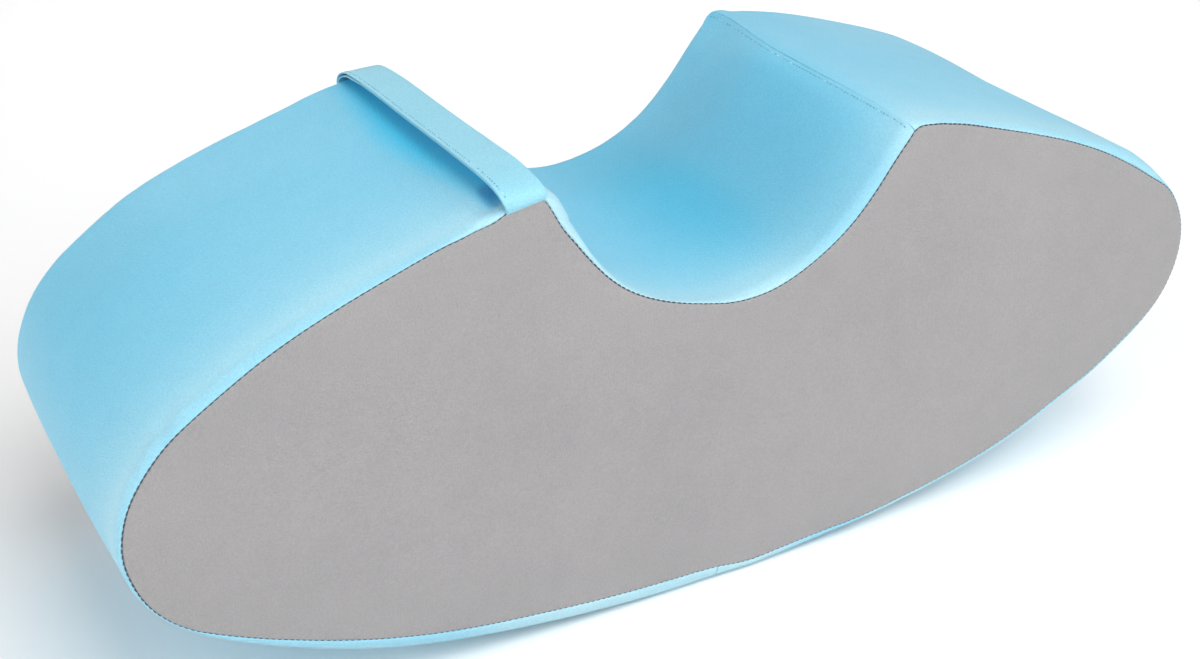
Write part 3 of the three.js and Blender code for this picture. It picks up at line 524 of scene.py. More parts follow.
def make_panel(name, o, step, replaces, ridge_ends, mat):
    s, dep = stations(o, step, True)
    g = panel(o, s, dep)
    i, k, _ = g.shape
    faces = grid_faces(i, k)
    v = g.reshape(-1, 3)
    if volume_sign(v, faces):
        faces = faces[:, ::-1]
    n = vertex_normals(v, faces).reshape(i, k, 3)
    # distance from the near and the far seam along each row
    seg = np.linalg.norm(np.diff(g, axis=1), axis=2)
    cum = np.concatenate([np.zeros((i, 1)), np.cumsum(seg, axis=1)], axis=1)
    near_v = np.maximum(cum - cum[:, 6:7], 0)
    far_v = np.maximum(cum[:, k - 7:k - 6] - cum, 0)
    gain = strength(o, s)
    rel = np.zeros((i, k))
    pn, pf = puckers(s, 0 * s + 1, 1.0, 1), puckers(s, 0 * s + 1, 1.0, 9)
    fade = lambda d: np.exp(-d / 7.0) * smooth(d / 3.0)
    rel += (0.42 * gain * pn / math.exp(-1 / 7) / max(smooth(np.array(1 / 2.5)), 1e-6))[:, None] * fade(near_v)
    rel += (0.34 * pf / math.exp(-1 / 7) / max(smooth(np.array(1 / 2.5)), 1e-6))[:, None] * fade(far_v)
    # slow unevenness of hand-cut foam
    slow = np.array([
        [noise.noise(Vector((a / 95.0, b / 75.0, 3.1 if o is R else 8.3))) for b in g[j, :, 1]] for j, a in enumerate(s)
    ])
    calm = np.clip((g[:, :, 2] - 4) / 25, 0, 1)
    rel += 0.35 * slow * calm * smooth(near_v / 14) * smooth(far_v / 14)
    # the seam allowances under the topstitched side stand up a little, and the stitches pull it down
    for side in ridge_ends:
        d = s - o.s[0] if side == 0 else o.s[-1] - s
        up = 0.22 * smooth((d - 0.4) / 1.1) * (1 - smooth((d - 4.6) / 2.4))
        dip = 0.24 * np.exp(-((d - 4.0) / 0.7) ** 2)
        across = smooth(near_v / 5) * smooth(far_v / 5)
        rel += (up - dip)[:, None] * across
    hold = np.ones((i, k))
    hold[:, :5] = 0
    hold[:, -5:] = 0
    if o is L:
        x, y = g[:, :, 0], g[:, :, 1]
        blob = lambda cx, cy, sx, sy: np.exp(-((x - cx) / sx) ** 2 - ((y - cy) / sy) ** 2)
        top = smooth((g[:, :, 2] - 290) / 10)
        rel += top * (-2.6 * blob(-158, -113, 7.5, 9) - 1.1 * blob(-151, -90, 9, 22) + 0.9 * blob(-168, -123, 9, 4.5)
                      + 0.5 * blob(-176, -108, 6, 10))
        for q_, depth in ((0.0, 1.0), (2.6, 0.55), (-3.4, 0.35)):
            crease = np.abs((x + 158 + 0.10 * (y + 113) ** 2 * 0.25) - q_ - 1.0)
            rel += -0.30 * depth * top * np.exp(-(crease / 0.8) ** 2) * blob(-158, -112, 9, 9)
        old = np.interp(s, o.s, o.old)[:, None]
        rel += -1.5 * np.exp(-((old - 1384) / 6.0) ** 2) * np.exp(-((near_v - 11) / 7.0) ** 2)
        rel += -0.8 * np.exp(-((old - 1384) / 3.4) ** 2) * np.exp(-((near_v - 5) / 4.0) ** 2)
        rel += 1.0 * np.exp(-((old - 1397) / 7.0) ** 2) * np.exp(-((near_v - 7) / 5.0) ** 2)
        rel += 0.9 * np.exp(-((old - 1372) / 7.0) ** 2) * np.exp(-((near_v - 9) / 6.0) ** 2)
    g = g + n * (rel * hold)[:, :, None]
    g[:, :, 2] = np.maximum(g[:, :, 2], 0.02)
    v, f = shell(g.reshape(-1, 3), faces, LEATHER)
    v[:, 2] = np.maximum(v[:, 2], 0.02)
    ob = piece(name, v, f, mat, replaces=replaces)
    width = float(cum[len(s) // 2, -1]) * MM
    ob["cut"] = [float(o.s[-1] - o.s[0] + 6) * MM, width]
    return ob, g, s


def volume_sign(v, faces):
    """True when the faces of an open sheet look inward, towards the middle of the rocker."""
    n = vertex_normals(v, faces)
    c = v - np.array([0, 0, 150.0])
    return float((n * unit(c)).sum()) < 0


# ------------------------------------------------------------------ materials
def nodes_of(name):
    m = bpy.data.materials.new(name)
    m.use_nodes = True
    nt = m.node_tree
    nt.nodes.clear()
    out = nt.nodes.new("ShaderNodeOutputMaterial")
    p = nt.nodes.new("ShaderNodeBsdfPrincipled")
    nt.links.new(p.outputs[0], out.inputs[0])
    return m, nt, p


def link(nt, a, b):
    nt.links.new(a, b)


def node(nt, kind, **values):
    n = nt.nodes.new(kind)
    for k, v in values.items():
        setattr(n, k, v)
    return n


def ramp(nt, source, stops):
    r = nt.nodes.new("ShaderNodeValToRGB")
    link(nt, source, r.inputs[0])
    e = r.color_ramp.elements
    while len(e) < len(stops):
        e.new(0.5)
    for el, (pos, c) in zip(e, stops):
        el.position = pos
        el.color = (*c, 1) if len(c) == 3 else c
    return r


def grey_ramp(nt, source, lo, hi, a=0.0, b=1.0):
    return ramp(nt, source, [(lo, (a, a, a)), (hi, (b, b, b))])


def math_node(nt, op, a, b=None, clamp=False):
    n = node(nt, "ShaderNodeMath", operation=op, use_clamp=clamp)
    for i, x in enumerate((a, b)):
        if x is None:
            continue
        if isinstance(x, (int, float)):
            n.inputs[i].default_value = x
        else:
            link(nt, x, n.inputs[i])
    return n.outputs[0]


def position_ramp(nt, place, stops):
    """A value that follows a coordinate of the frame: stops in millimetres."""
    lo, hi = stops[0][0] / 1000, stops[-1][0] / 1000
    rng = node(nt, "ShaderNodeMapRange")
    rng.inputs["From Min"].default_value = lo
    rng.inputs["From Max"].default_value = hi
    link(nt, place, rng.inputs["Value"])
    return ramp(nt, rng.outputs[0], [((q / 1000 - lo) / (hi - lo), (v, v, v)) for q, v in stops]).outputs[0]


def blend_colour(nt, factor, a, b):
    mix = node(nt, "ShaderNodeMix", data_type="RGBA")
    link(nt, factor, mix.inputs[0])
    link(nt, a, mix.inputs[6])
    if isinstance(b, tuple):
        mix.inputs[7].default_value = (*b, 1)
    else:
        link(nt, b, mix.inputs[7])
    return mix.outputs[2]


def leatherette(name, light, mid, dark, rough=0.44, sheen=0.1, sheen_tint=(1, 1, 1), grain=0.35, spec=0.5, speckle=0.4,
                painted_highlight=None, painted_shadow=None, seat=None):
    """Satin imitation leather with a fine pebble grain: colours are linear.
    The last three arguments are tones by place, painted light and shade fitted to the shading in the photograph and not
    to a known change of the
    leatherette: a painted highlight along the near edge, a painted shadow beside the strap, and painted shade in the
    hollow of the seat."""
    m, nt, p = nodes_of(name)
    tc = node(nt, "ShaderNodeTexCoord")
    # pebbles of about 1.1 mm, broken up by a noise
    warp = node(nt, "ShaderNodeTexNoise")
    link(nt, tc.outputs["Object"], warp.inputs["Vector"])
    warp.inputs["Scale"].default_value = 420
    warp.inputs["Detail"].default_value = 2
    mix = node(nt, "ShaderNodeMix", data_type="RGBA")
    mix.inputs[0].default_value = 0.0016
    link(nt, tc.outputs["Object"], mix.inputs[6])
    link(nt, warp.outputs["Color"], mix.inputs[7])
    vor = node(nt, "ShaderNodeTexVoronoi", feature="SMOOTH_F1")
    vor.inputs["Scale"].default_value = 820
    vor.inputs["Smoothness"].default_value = 0.55
    link(nt, mix.outputs[2], vor.inputs["Vector"])
    crease = node(nt, "ShaderNodeTexVoronoi", feature="DISTANCE_TO_EDGE")
    crease.inputs["Scale"].default_value = 820
    link(nt, mix.outputs[2], crease.inputs["Vector"])
    fine = node(nt, "ShaderNodeTexNoise")
    link(nt, tc.outputs["Object"], fine.inputs["Vector"])
    fine.inputs["Scale"].default_value = 2600
    fine.inputs["Detail"].default_value = 3
    fine.inputs["Roughness"].default_value = 0.6
    wide = node(nt, "ShaderNodeTexNoise")
    link(nt, tc.outputs["Object"], wide.inputs["Vector"])
    wide.inputs["Scale"].default_value = 7.5
    wide.inputs["Detail"].default_value = 3
    wide.inputs["Roughness"].default_value = 0.5
    patch = node(nt, "ShaderNodeTexNoise")
    link(nt, tc.outputs["Object"], patch.inputs["Vector"])
    patch.inputs["Scale"].default_value = 60
    patch.inputs["Detail"].default_value = 4
    # height: pebbles, less in the creases, with a fine tooth on top
    dome = math_node(nt, "MULTIPLY", vor.outputs["Distance"], -1.0)
    cut = grey_ramp(nt, crease.outputs["Distance"], 0.0, 0.16)
    h1 = math_node(nt, "MULTIPLY", cut.outputs[0], 0.55)
    h2 = math_node(nt, "ADD", dome, h1)
    h3 = math_node(nt, "MULTIPLY", fine.outputs["Fac"], 0.35)
    h = math_node(nt, "ADD", h2, h3)
    bump = node(nt, "ShaderNodeBump")
    bump.inputs["Strength"].default_value = grain
    bump.inputs["Distance"].default_value = 0.00022
    link(nt, h, bump.inputs["Height"])
    link(nt, bump.outputs[0], p.inputs["Normal"])
    # colour: slow patches, a finer mottle, and slightly darker creases in the grain, a painted shade
    a = math_node(nt, "MULTIPLY", wide.outputs["Fac"], 0.62)
    b = math_node(nt, "MULTIPLY", patch.outputs["Fac"], 0.26)
    c = math_node(nt, "MULTIPLY", cut.outputs[0], 0.12)
    ab = math_node(nt, "ADD", a, b)
    abc = math_node(nt, "ADD", ab, c)
    cr = ramp(nt, abc, [(0.30, dark), (0.50, mid), (0.72, light)])
    colour = cr.outputs[0]
    xyz = node(nt, "ShaderNodeSeparateXYZ")
    link(nt, tc.outputs["Object"], xyz.inputs[0])
    X, Y, Z = xyz.outputs
    # painted highlight: a paler, whiter blue along the near rounded edge where the cover catches the light, fading
    # across the width, kept off the rim by the seam at both ends, uneven with the wide noise and weaker on the saddle's
    # right slope
    if painted_highlight:
        edge = position_ramp(nt, Y, [(-126.6, 1.0), (-112.6, 0.66), (-97.2, 0.37), (-66.4, 0.135), (-27.2, 0.036), (13.4, 0.0)])
        rim = position_ramp(nt, Y, [(-126.6, 0.58), (-122.6, 0.48), (-118.6, 0.26), (-114.6, 0.05), (-110.6, 0.0)])
        ends = position_ramp(nt, X, [(-400, 1.0), (-200, 1.0), (-165, 0.3), (-120, 0.0), (128, 0.0), (160, 0.5), (400, 0.6)])
        kept = math_node(nt, "SUBTRACT", 1.0, math_node(nt, "MULTIPLY", rim, ends))
        uneven = math_node(nt, "ADD", math_node(nt, "MULTIPLY", wide.outputs["Fac"], 0.5), 0.75)
        slope = position_ramp(nt, X, [(-400, 1.0), (40, 1.0), (82, 0.45), (116, 0.4), (134, 0.8), (150, 1.0), (400, 1.0)])
        share = math_node(nt, "MULTIPLY", math_node(nt, "MULTIPLY", edge, kept), uneven)
        share = math_node(nt, "MULTIPLY", share, slope, clamp=True)
        colour = blend_colour(nt, share, colour, painted_highlight)
    # painted shadow beside the strap: a darker, more saturated blue on the band under and left of the strap, where the
    # strap shades it, only high up and away from the near edge
    if painted_shadow:
        slant = math_node(nt, "ADD", X, math_node(nt, "MULTIPLY", math_node(nt, "MINIMUM", Y, 0.0), 0.15))
        slant = math_node(nt, "SUBTRACT", slant, math_node(nt, "MULTIPLY", math_node(nt, "MAXIMUM", Y, 0.03), 0.1))
        beside = position_ramp(nt, slant, [(-181, 0.0), (-176.5, 0.3), (-172, 0.5), (-168, 0.74), (-163, 1.0), (-131, 1.0),
                                           (-125, 0.0)])
        top = position_ramp(nt, Z, [(285, 0.0), (305, 1.0)])
        top = math_node(nt, "MULTIPLY", top, position_ramp(nt, X, [(-143.5, 1.0), (-137, 0.0)]))
        inner = position_ramp(nt, Y, [(-119, 0.0), (-109, 1.0)])
        share = math_node(nt, "MULTIPLY", math_node(nt, "MULTIPLY", beside, top), inner, clamp=True)
        colour = blend_colour(nt, share, colour, painted_shadow)
        # painted shadow in the dent beside the strap's near end: a dark, saturated blue core
        across_dent_shadow = math_node(nt, "POWER", math_node(nt, "MULTIPLY", math_node(nt, "ADD", X, 0.1495), 112.0), 2.0)
        along_dent_shadow = math_node(nt, "POWER", math_node(nt, "MULTIPLY", math_node(nt, "ADD", Y, 0.1025), 57.0), 2.0)
        dent = ramp(nt, math_node(nt, "ADD", across_dent_shadow, along_dent_shadow),
                    [(0.0, (0.84, 0.84, 0.84)), (0.35, (0.62, 0.62, 0.62)), (0.75, (0.2, 0.2, 0.2)), (1.0, (0, 0, 0))])
        share = math_node(nt, "MULTIPLY", dent.outputs[0], top, clamp=True)
        colour = blend_colour(nt, share, colour, (0.012, 0.285, 0.600))
    # painted shade in the hollow of the seat: a darker blue in the middle of the saddle, where less light reaches
    if seat:
        along = position_ramp(nt, X, [(-35, 0.0), (-7, 0.3), (14, 0.55), (28, 0.85), (42, 1.0), (56, 0.9), (70, 0.45),
                                      (84, 0.28), (119, 0.35), (133, 0.0)])
        across = position_ramp(nt, Y, [(-106.6, 0.0), (-90, 0.3), (-56, 0.75), (-12, 1.0), (34, 1.0), (54, 0.9), (98, 0.45),
                                       (126.6, 0.3)])
        high = position_ramp(nt, Z, [(190, 0.0), (210, 1.0)])
        share = math_node(nt, "MULTIPLY", math_node(nt, "MULTIPLY", along, across), high, clamp=True)
        colour = blend_colour(nt, share, colour, seat)
    speck = node(nt, "ShaderNodeTexNoise")
    link(nt, tc.outputs["Object"], speck.inputs["Vector"])
    speck.inputs["Scale"].default_value = 760
    speck.inputs["Detail"].default_value = 3
    speck.inputs["Roughness"].default_value = 0.6
    fleck = math_node(nt, "ADD", math_node(nt, "MULTIPLY", speck.outputs["Fac"], speckle), 1 - speckle / 2)
    mottle = node(nt, "ShaderNodeMix", data_type="RGBA", blend_type="MULTIPLY")
    mottle.inputs[0].default_value = 1.0
    link(nt, colour, mottle.inputs[6])
    link(nt, fleck, mottle.inputs[7])
    link(nt, mottle.outputs[2], p.inputs["Base Color"])
    rr = grey_ramp(nt, abc, 0.3, 0.72, rough + 0.045, rough - 0.035)
    link(nt, rr.outputs[0], p.inputs["Roughness"])
    p.inputs["Specular IOR Level"].default_value = spec
    p.inputs["IOR"].default_value = 1.5
    p.inputs["Sheen Weight"].default_value = sheen
    p.inputs["Sheen Roughness"].default_value = 0.4
    p.inputs["Sheen Tint"].default_value = (*sheen_tint, 1)
    return m


def thread_mat(name, colour, dark, spread=1800, steps=(0.38, 0.62)):
    m, nt, p = nodes_of(name)
    tc = node(nt, "ShaderNodeTexCoord")
    w = node(nt, "ShaderNodeTexNoise")
    link(nt, tc.outputs["Object"], w.inputs["Vector"])
    w.inputs["Scale"].default_value = spread
    w.inputs["Detail"].default_value = 2
    r = ramp(nt, w.outputs["Fac"], [(steps[0], dark), (steps[1], colour)])
    link(nt, r.outputs[0], p.inputs["Base Color"])
    rr = grey_ramp(nt, w.outputs["Fac"], 0.3, 0.7, 0.75, 0.55)
    link(nt, rr.outputs[0], p.inputs["Roughness"])
    bump = node(nt, "ShaderNodeBump")
    bump.inputs["Strength"].default_value = 0.5
    bump.inputs["Distance"].default_value = 0.0001
    link(nt, w.outputs["Fac"], bump.inputs["Height"])
    link(nt, bump.outputs[0], p.inputs["Normal"])
    p.inputs["Sheen Weight"].default_value = 0.15
    return m


def foam_mat():
    m, nt, p = nodes_of("foam_open_cell")
    tc = node(nt, "ShaderNodeTexCoord")
    v = node(nt, "ShaderNodeTexVoronoi", feature="F1")
    v.inputs["Scale"].default_value = 900
    link(nt, tc.outputs["Object"], v.inputs["Vector"])
    n = node(nt, "ShaderNodeTexNoise")
    n.inputs["Scale"].default_value = 30
    n.inputs["Detail"].default_value = 4
    link(nt, tc.outputs["Object"], n.inputs["Vector"])
    mixv = math_node(nt, "ADD", math_node(nt, "MULTIPLY", v.outputs["Distance"], 0.6),
                     math_node(nt, "MULTIPLY", n.outputs["Fac"], 0.4))
    r = ramp(nt, mixv, [(0.2, (0.86, 0.80, 0.60)), (0.7, (0.72, 0.64, 0.43))])
    link(nt, r.outputs[0], p.inputs["Base Color"])
    rr = grey_ramp(nt, n.outputs["Fac"], 0.3, 0.7, 0.98, 0.9)
    link(nt, rr.outputs[0], p.inputs["Roughness"])
    bump = node(nt, "ShaderNodeBump")
    bump.inputs["Strength"].default_value = 0.8
    bump.inputs["Distance"].default_value = 0.0006
    link(nt, v.outputs["Distance"], bump.inputs["Height"])
    link(nt, bump.outputs[0], p.inputs["Normal"])
    return m


def tape_mat():
    m, nt, p = nodes_of("zip_tape_weave")
    tc = node(nt, "ShaderNodeTexCoord")
    w1 = node(nt, "ShaderNodeTexWave", wave_type="BANDS", bands_direction="X")
    w1.inputs["Scale"].default_value = 500
    w2 = node(nt, "ShaderNodeTexWave", wave_type="BANDS", bands_direction="Z")
    w2.inputs["Scale"].default_value = 420
    for w in (w1, w2):
        w.inputs["Distortion"].default_value = 0.6
        w.inputs["Detail"].default_value = 1
        link(nt, tc.outputs["Object"], w.inputs["Vector"])
    h = math_node(nt, "MAXIMUM", w1.outputs["Fac"], w2.outputs["Fac"])
    r = ramp(nt, h, [(0.2, (0.19, 0.185, 0.19)), (0.9, (0.33, 0.32, 0.33))])
    link(nt, r.outputs[0], p.inputs["Base Color"])
    rr = grey_ramp(nt, h, 0.2, 0.9, 0.95, 0.8)
    link(nt, rr.outputs[0], p.inputs["Roughness"])
    bump = node(nt, "ShaderNodeBump")
    bump.inputs["Strength"].default_value = 0.7
    bump.inputs["Distance"].default_value = 0.00015
    link(nt, h, bump.inputs["Height"])
    link(nt, bump.outputs[0], p.inputs["Normal"])
    p.inputs["Sheen Weight"].default_value = 0.2
    return m


def coil_mat():
    m, nt, p = nodes_of("zip_coil_nylon")
    tc = node(nt, "ShaderNodeTexCoord")
    n = node(nt, "ShaderNodeTexNoise")
    n.inputs["Scale"].default_value = 400
    n.inputs["Detail"].default_value = 3
    link(nt, tc.outputs["Object"], n.inputs["Vector"])
    r = ramp(nt, n.outputs["Fac"], [(0.3, (0.20, 0.195, 0.20)), (0.7, (0.29, 0.285, 0.29))])
    link(nt, r.outputs[0], p.inputs["Base Color"])
    rr = grey_ramp(nt, n.outputs["Fac"], 0.3, 0.7, 0.42, 0.3)
    link(nt, rr.outputs[0], p.inputs["Roughness"])
    return m


def metal_mat():
    m, nt, p = nodes_of("zip_nickel")
    tc = node(nt, "ShaderNodeTexCoord")
    n = node(nt, "ShaderNodeTexNoise")
    n.inputs["Scale"].default_value = 900
    n.inputs["Detail"].default_value = 5
    link(nt, tc.outputs["Object"], n.inputs["Vector"])
    r = ramp(nt, n.outputs["Fac"], [(0.3, (0.46, 0.45, 0.44)), (0.7, (0.66, 0.65, 0.63))])
    link(nt, r.outputs[0], p.inputs["Base Color"])
    rr = grey_ramp(nt, n.outputs["Fac"], 0.3, 0.7, 0.34, 0.22)
    link(nt, rr.outputs[0], p.inputs["Roughness"])
    p.inputs["Metallic"].default_value = 1.0
    bump = node(nt, "ShaderNodeBump")
    bump.inputs["Strength"].default_value = 0.15
    bump.inputs["Distance"].default_value = 0.00008
    link(nt, n.outputs["Fac"], bump.inputs["Height"])
    link(nt, bump.outputs[0], p.inputs["Normal"])
    return m


# the blue cover's colours carry painted light: a painted highlight along the near edge, a painted shadow beside the
# strap and painted shade in the seat's hollow
BLUE = leatherette("leatherette_blue", (0.203, 0.609, 0.820), (0.185, 0.591, 0.804), (0.167, 0.572, 0.788),
                   rough=0.42, sheen=0.08, grain=0.9, spec=0.6, painted_highlight=(0.455, 0.750, 0.855), painted_shadow=(0.052, 0.620, 0.920),
                   seat=(0.090, 0.550, 0.795))
# painted highlight: the strap gets a paler copy of the blue leatherette, standing in for the light its level top
# catches
BLUE_WITH_PAINTED_HIGHLIGHT = leatherette("leatherette_blue_strap_painted_highlight", (0.327, 0.704, 0.856), (0.308, 0.687, 0.843), (0.289, 0.669, 0.829),
                        rough=0.42, sheen=0.08, grain=0.9, spec=0.6)
GREY = leatherette("leatherette_grey", (0.377, 0.364, 0.370), (0.355, 0.346, 0.352), (0.333, 0.328, 0.334),
                   rough=0.5, sheen=0.08, grain=0.9)
THREAD_DARK = thread_mat("thread_slate", (0.055, 0.085, 0.12), (0.03, 0.05, 0.075))
THREAD_BLUE = thread_mat("thread_pale_blue", (0.58, 0.80, 0.88), (0.09, 0.34, 0.52), spread=260, steps=(0.50, 0.68))
FOAM, TAPE, COIL, METAL = foam_mat(), tape_mat(), coil_mat(), metal_mat()

# ------------------------------------------------------------------ blue panels
band_right, grid_r, s_r = make_panel("cover_band_right", R, 3.7, ("band_right",), (), BLUE)
band_left, grid_l, s_l = make_panel("cover_band_left", L, 3.7, ("band_left",), (), BLUE)
seat, grid_s, s_s = make_panel("cover_saddle", S, 2.9, ("seat_panel",), (0, 1), BLUE)

# ------------------------------------------------------------------ grey side panels
seam_near = np.vstack([o.qn[:-1] for o in ALL])
seam_far = np.vstack([o.qf[:-1] for o in ALL])


def ring_stations(step=3.7):
    out = []
    for o in ALL:
        n = int((o.s[-1] - o.s[0]) / step)
        s = np.linspace(o.s[0], o.s[-1], n + 1)[:-1]
        extra = []
        if o.corner[0]:
            extra += [o.s[0] + d for d in (1.2, 2.4)]
        if o.corner[1]:
            extra += [o.s[-1] - d for d in (1.2, 2.4)]
        s = np.unique(np.r_[s, extra])
        st = at(o, s)
        out.append((s, st["qn"], st["qf"], st["m"], st["pn"], st["pf"]))
    return [np.concatenate([q[k] for q in out]) for k in range(6)]


def nearest(points, line):
    best = np.full(len(points), 1e9)
    for k in range(0, len(line), 400):
        d = np.linalg.norm(points[:, None, :] - line[None, k:k + 400, :], axis=2).min(1)
        best = np.minimum(best, d)
    return best


def pillow(d):
    return 1.7 * (1 - np.exp(-d / 20.0))


def side_panel(name, sign, rings, slit=None, spacing=10.0, replaces=()):
    s, qn, qf, m, pn, pf = ring_stations()
    q = qn if sign < 0 else qf
    outl = pn if sign < 0 else pf
    line = (seam_near if sign < 0 else seam_far)[::3]
    mh = unit(m)
    count = len(s)
    layers = []
    for i in range(count):
        e = float(np.linalg.norm(q[i] - outl[i]))
        a = 0.34 + 0.34 * math.exp(-e / 2.5)
        b = math.sqrt(1 - a * a)
        lip = np.array([mh[i][0] * a, -sign * b, mh[i][1] * a])
        qs = q[i] + mh[i] * 0.12
        q3 = np.array([qs[0], sign * W, qs[1]])
        inward = np.array([mh[i][0], 0, mh[i][1]])
        start, stop = q3 + lip * ROLL, q3 + inward * ROLL
        pts = [q3 + lip * u for u in LIPS] + [start]
        for t in (0.25, 0.5, 0.75, 1.0):
            pts.append(start * (1 - t) ** 2 + q3 * 2 * t * (1 - t) + stop * t * t)
        for d in rings:
            pts.append(np.array([qs[0] + m[i][0] * d, sign * W, qs[1] + m[i][1] * d]))
        layers.append(pts)
    g = np.array(layers)                       # stations x rings x 3
    i_n, k_n, _ = g.shape
    # puckers and pillow on the flat part
    flatk = np.arange(8, k_n)
    dist = np.zeros((i_n, k_n))
    for k in flatk:
        dist[:, k] = nearest(g[:, k][:, ::2], line)
    gain = np.concatenate([strength(o, np.clip(s[(s >= o.s[0]) & (s < o.s[-1])], o.s[0], o.s[-1])) for o in ALL])
    seed = 21 if sign < 0 else 33
    w1, w2 = wave(s, seed, 11.0), wave(s, seed + 3, 26.0)
    for k in flatk:
        d = dist[:, k]
        lift = pillow(d) + (0.34 * w1 * np.exp(-d / 8) + 0.42 * w2 * np.exp(-d / 17)) * gain * smooth((d - 1.0) / 5)
        g[:, k, 1] = sign * (W + lift)
    verts = [g[i, k] for i in range(i_n) for k in range(k_n)]
    faces = [tuple(f) for f in grid_faces(i_n, k_n, wrap=True)]
    last = np.array([i * k_n + k_n - 1 for i in range(i_n)])
    loop = g[:, -1][:, ::2]
    # the inside of the panel
    pts = [Vector(p) for p in loop]
    edges = [(a, (a + 1) % len(loop)) for a in range(len(loop))]
    ids = list(last)
    hole_poly = None
    if slit is not None:
        hv, hf, hole_loop = slit(len(verts), sign)
        verts += [p for p in hv]
        faces += hf
        base = len(pts)
        hole_poly = np.array([[hv[x - (len(verts) - len(hv))][0], hv[x - (len(verts) - len(hv))][2]] for x in hole_loop])
        pts += [Vector(p) for p in hole_poly]
        edges += [(base + a, base + (a + 1) % len(hole_poly)) for a in range(len(hole_poly))]
        ids += list(hole_loop)
    # fill points: rows that follow the seam, then an even triangle grid
    fill = []
    for d in ([] if rings[-1] > 20 else [8.0, 13.0, 20.0]):
        row = q + m * d
        keep = np.r_[True, np.cumsum(np.linalg.norm(np.diff(row, axis=0), axis=1)) % 5.6 < 3.0]
        fill.append(row[keep])
    if hole_poly is not None:                  # a finer grid round the slit
        (x_lo, z_lo), (x_hi, z_hi) = hole_poly.min(axis=0) - 28, hole_poly.max(axis=0) + 28
        fine = np.array([[x + (2.5 if j % 2 else 0), z] for j, z in enumerate(np.arange(z_lo, z_hi, 4.33))
                         for x in np.arange(x_lo, x_hi, 5.0)])
        fill.append(fine[nearest(fine, densify(hole_poly, 1.5)) < 26])
    xs = np.arange(-400, 400, spacing)
    rows = np.arange(0, 330, spacing * 0.866)
    hexes = np.array([[x + (spacing / 2 if j % 2 else 0), z] for j, z in enumerate(rows) for x in xs])
    fill.append(hexes)
    cand = np.vstack(fill)
    lim = rings[-1] + (4.5 if rings[-1] > 20 else 3.2)
    inside = point_in(cand, loop)
    dl = nearest(cand, line)
    ok = inside & (dl > lim * 0.93)
    ok[-len(hexes):] &= dl[-len(hexes):] > (lim if rings[-1] > 20 else 25.0)
    if hole_poly is not None:
        ok &= ~point_in(cand, hole_poly) & (nearest(cand, densify(hole_poly, 1.5)) > 3.4)
    cand = thin(cand[ok], 3.4)
    pts += [Vector(p) for p in cand]
    out = geometry.delaunay_2d_cdt(pts, edges, [], 0, 1e-6)
    ov, of, orig = out[0], out[2], out[3]
    back = {}
    inner_ids = []
    for n_, (p, src) in enumerate(zip(ov, orig)):
        if src and src[0] < len(ids):
            back[n_] = ids[src[0]]
        else:
            back[n_] = len(verts)
            inner_ids.append(len(verts))
            verts.append(np.array([p[0], sign * W, p[1]]))
    centres = np.array([np.mean([ov[x] for x in f], axis=0) for f in of])
    good = point_in(centres, loop)
    if hole_poly is not None:
        good &= ~point_in(centres, hole_poly)
    tri = [tuple(back[x] for x in f) for f, okf in zip(of, good) if okf]
    # same turn as the ring faces
    v = np.array(verts, float)
    ring_n = vertex_normals(v, faces)[last[0]]
    tri_n = np.cross(v[tri[0][1]] - v[tri[0][0]], v[tri[0][2]] - v[tri[0][0]])
    if (ring_n[1] > 0) != (tri_n[1] > 0):
        tri = [t[::-1] for t in tri]
    faces += tri
    inner = np.array(inner_ids, int)
    di = nearest(v[inner][:, ::2], line)
    lift = pillow(di)
    if hole_poly is not None:
        dh = nearest(v[inner][:, ::2], densify(hole_poly, 1.5))
        lift = lift * smooth(dh / 16) + (1 - smooth(dh / 16)) * np.minimum(lift, 0.5)
    v[inner, 1] = sign * (W + lift)
    # relax the flat part, so that no crease stays where the distance field has one
    move = np.zeros(len(v), bool)
    move[inner] = True
    for k in range(11, k_n):
        move[[i * k_n + k for i in range(i_n)]] = True
    a_, b_ = [], []
    for f in faces:
        for x, y in zip(f, f[1:] + f[:1]):
            a_.append(x)
            b_.append(y)
    a_, b_ = np.array(a_), np.array(b_)
    deg = np.bincount(a_, minlength=len(v)) + np.bincount(b_, minlength=len(v))
    for _ in range(14):
        tot = np.bincount(a_, weights=v[b_, 1], minlength=len(v)) + np.bincount(b_, weights=v[a_, 1], minlength=len(v))
        av = tot / np.maximum(deg, 1)
        v[move, 1] = v[move, 1] * 0.45 + av[move] * 0.55
    n = vertex_normals(v, faces)
    if (n[last, 1].mean() > 0) != (sign > 0):
        faces = [f[::-1] for f in faces]
    sv, sf = shell(v, faces, LEATHER)
    ob = piece(name, sv, sf, GREY, replaces=replaces)
    area = abs(np.sum(loop_area(q))) + 5.2 * PERIM
    ob["cut"] = [0.81, 0.33, float(area) * 1e-6]
    return ob


def loop_area(p):
    q = np.roll(p, -1, 0)
    return (p[:, 0] * q[:, 1] - q[:, 0] * p[:, 1]) / 2


def point_in(points, poly):
    x, y = points[:, 0], points[:, 1]
    inside = np.zeros(len(points), bool)
    a, b = poly, np.roll(poly, -1, 0)
    for (x0, y0), (x1, y1) in zip(a, b):
        hit = ((y0 > y) != (y1 > y)) & (x < (x1 - x0) * (y - y0) / (y1 - y0 + 1e-12) + x0)
        inside ^= hit
    return inside


def densify(poly, step):
    out = []
    for p, q in zip(poly, np.roll(poly, -1, 0)):
        n = max(1, int(np.linalg.norm(q - p) / step))
        out += [p + (q - p) * k / n for k in range(n)]
    return np.array(out)


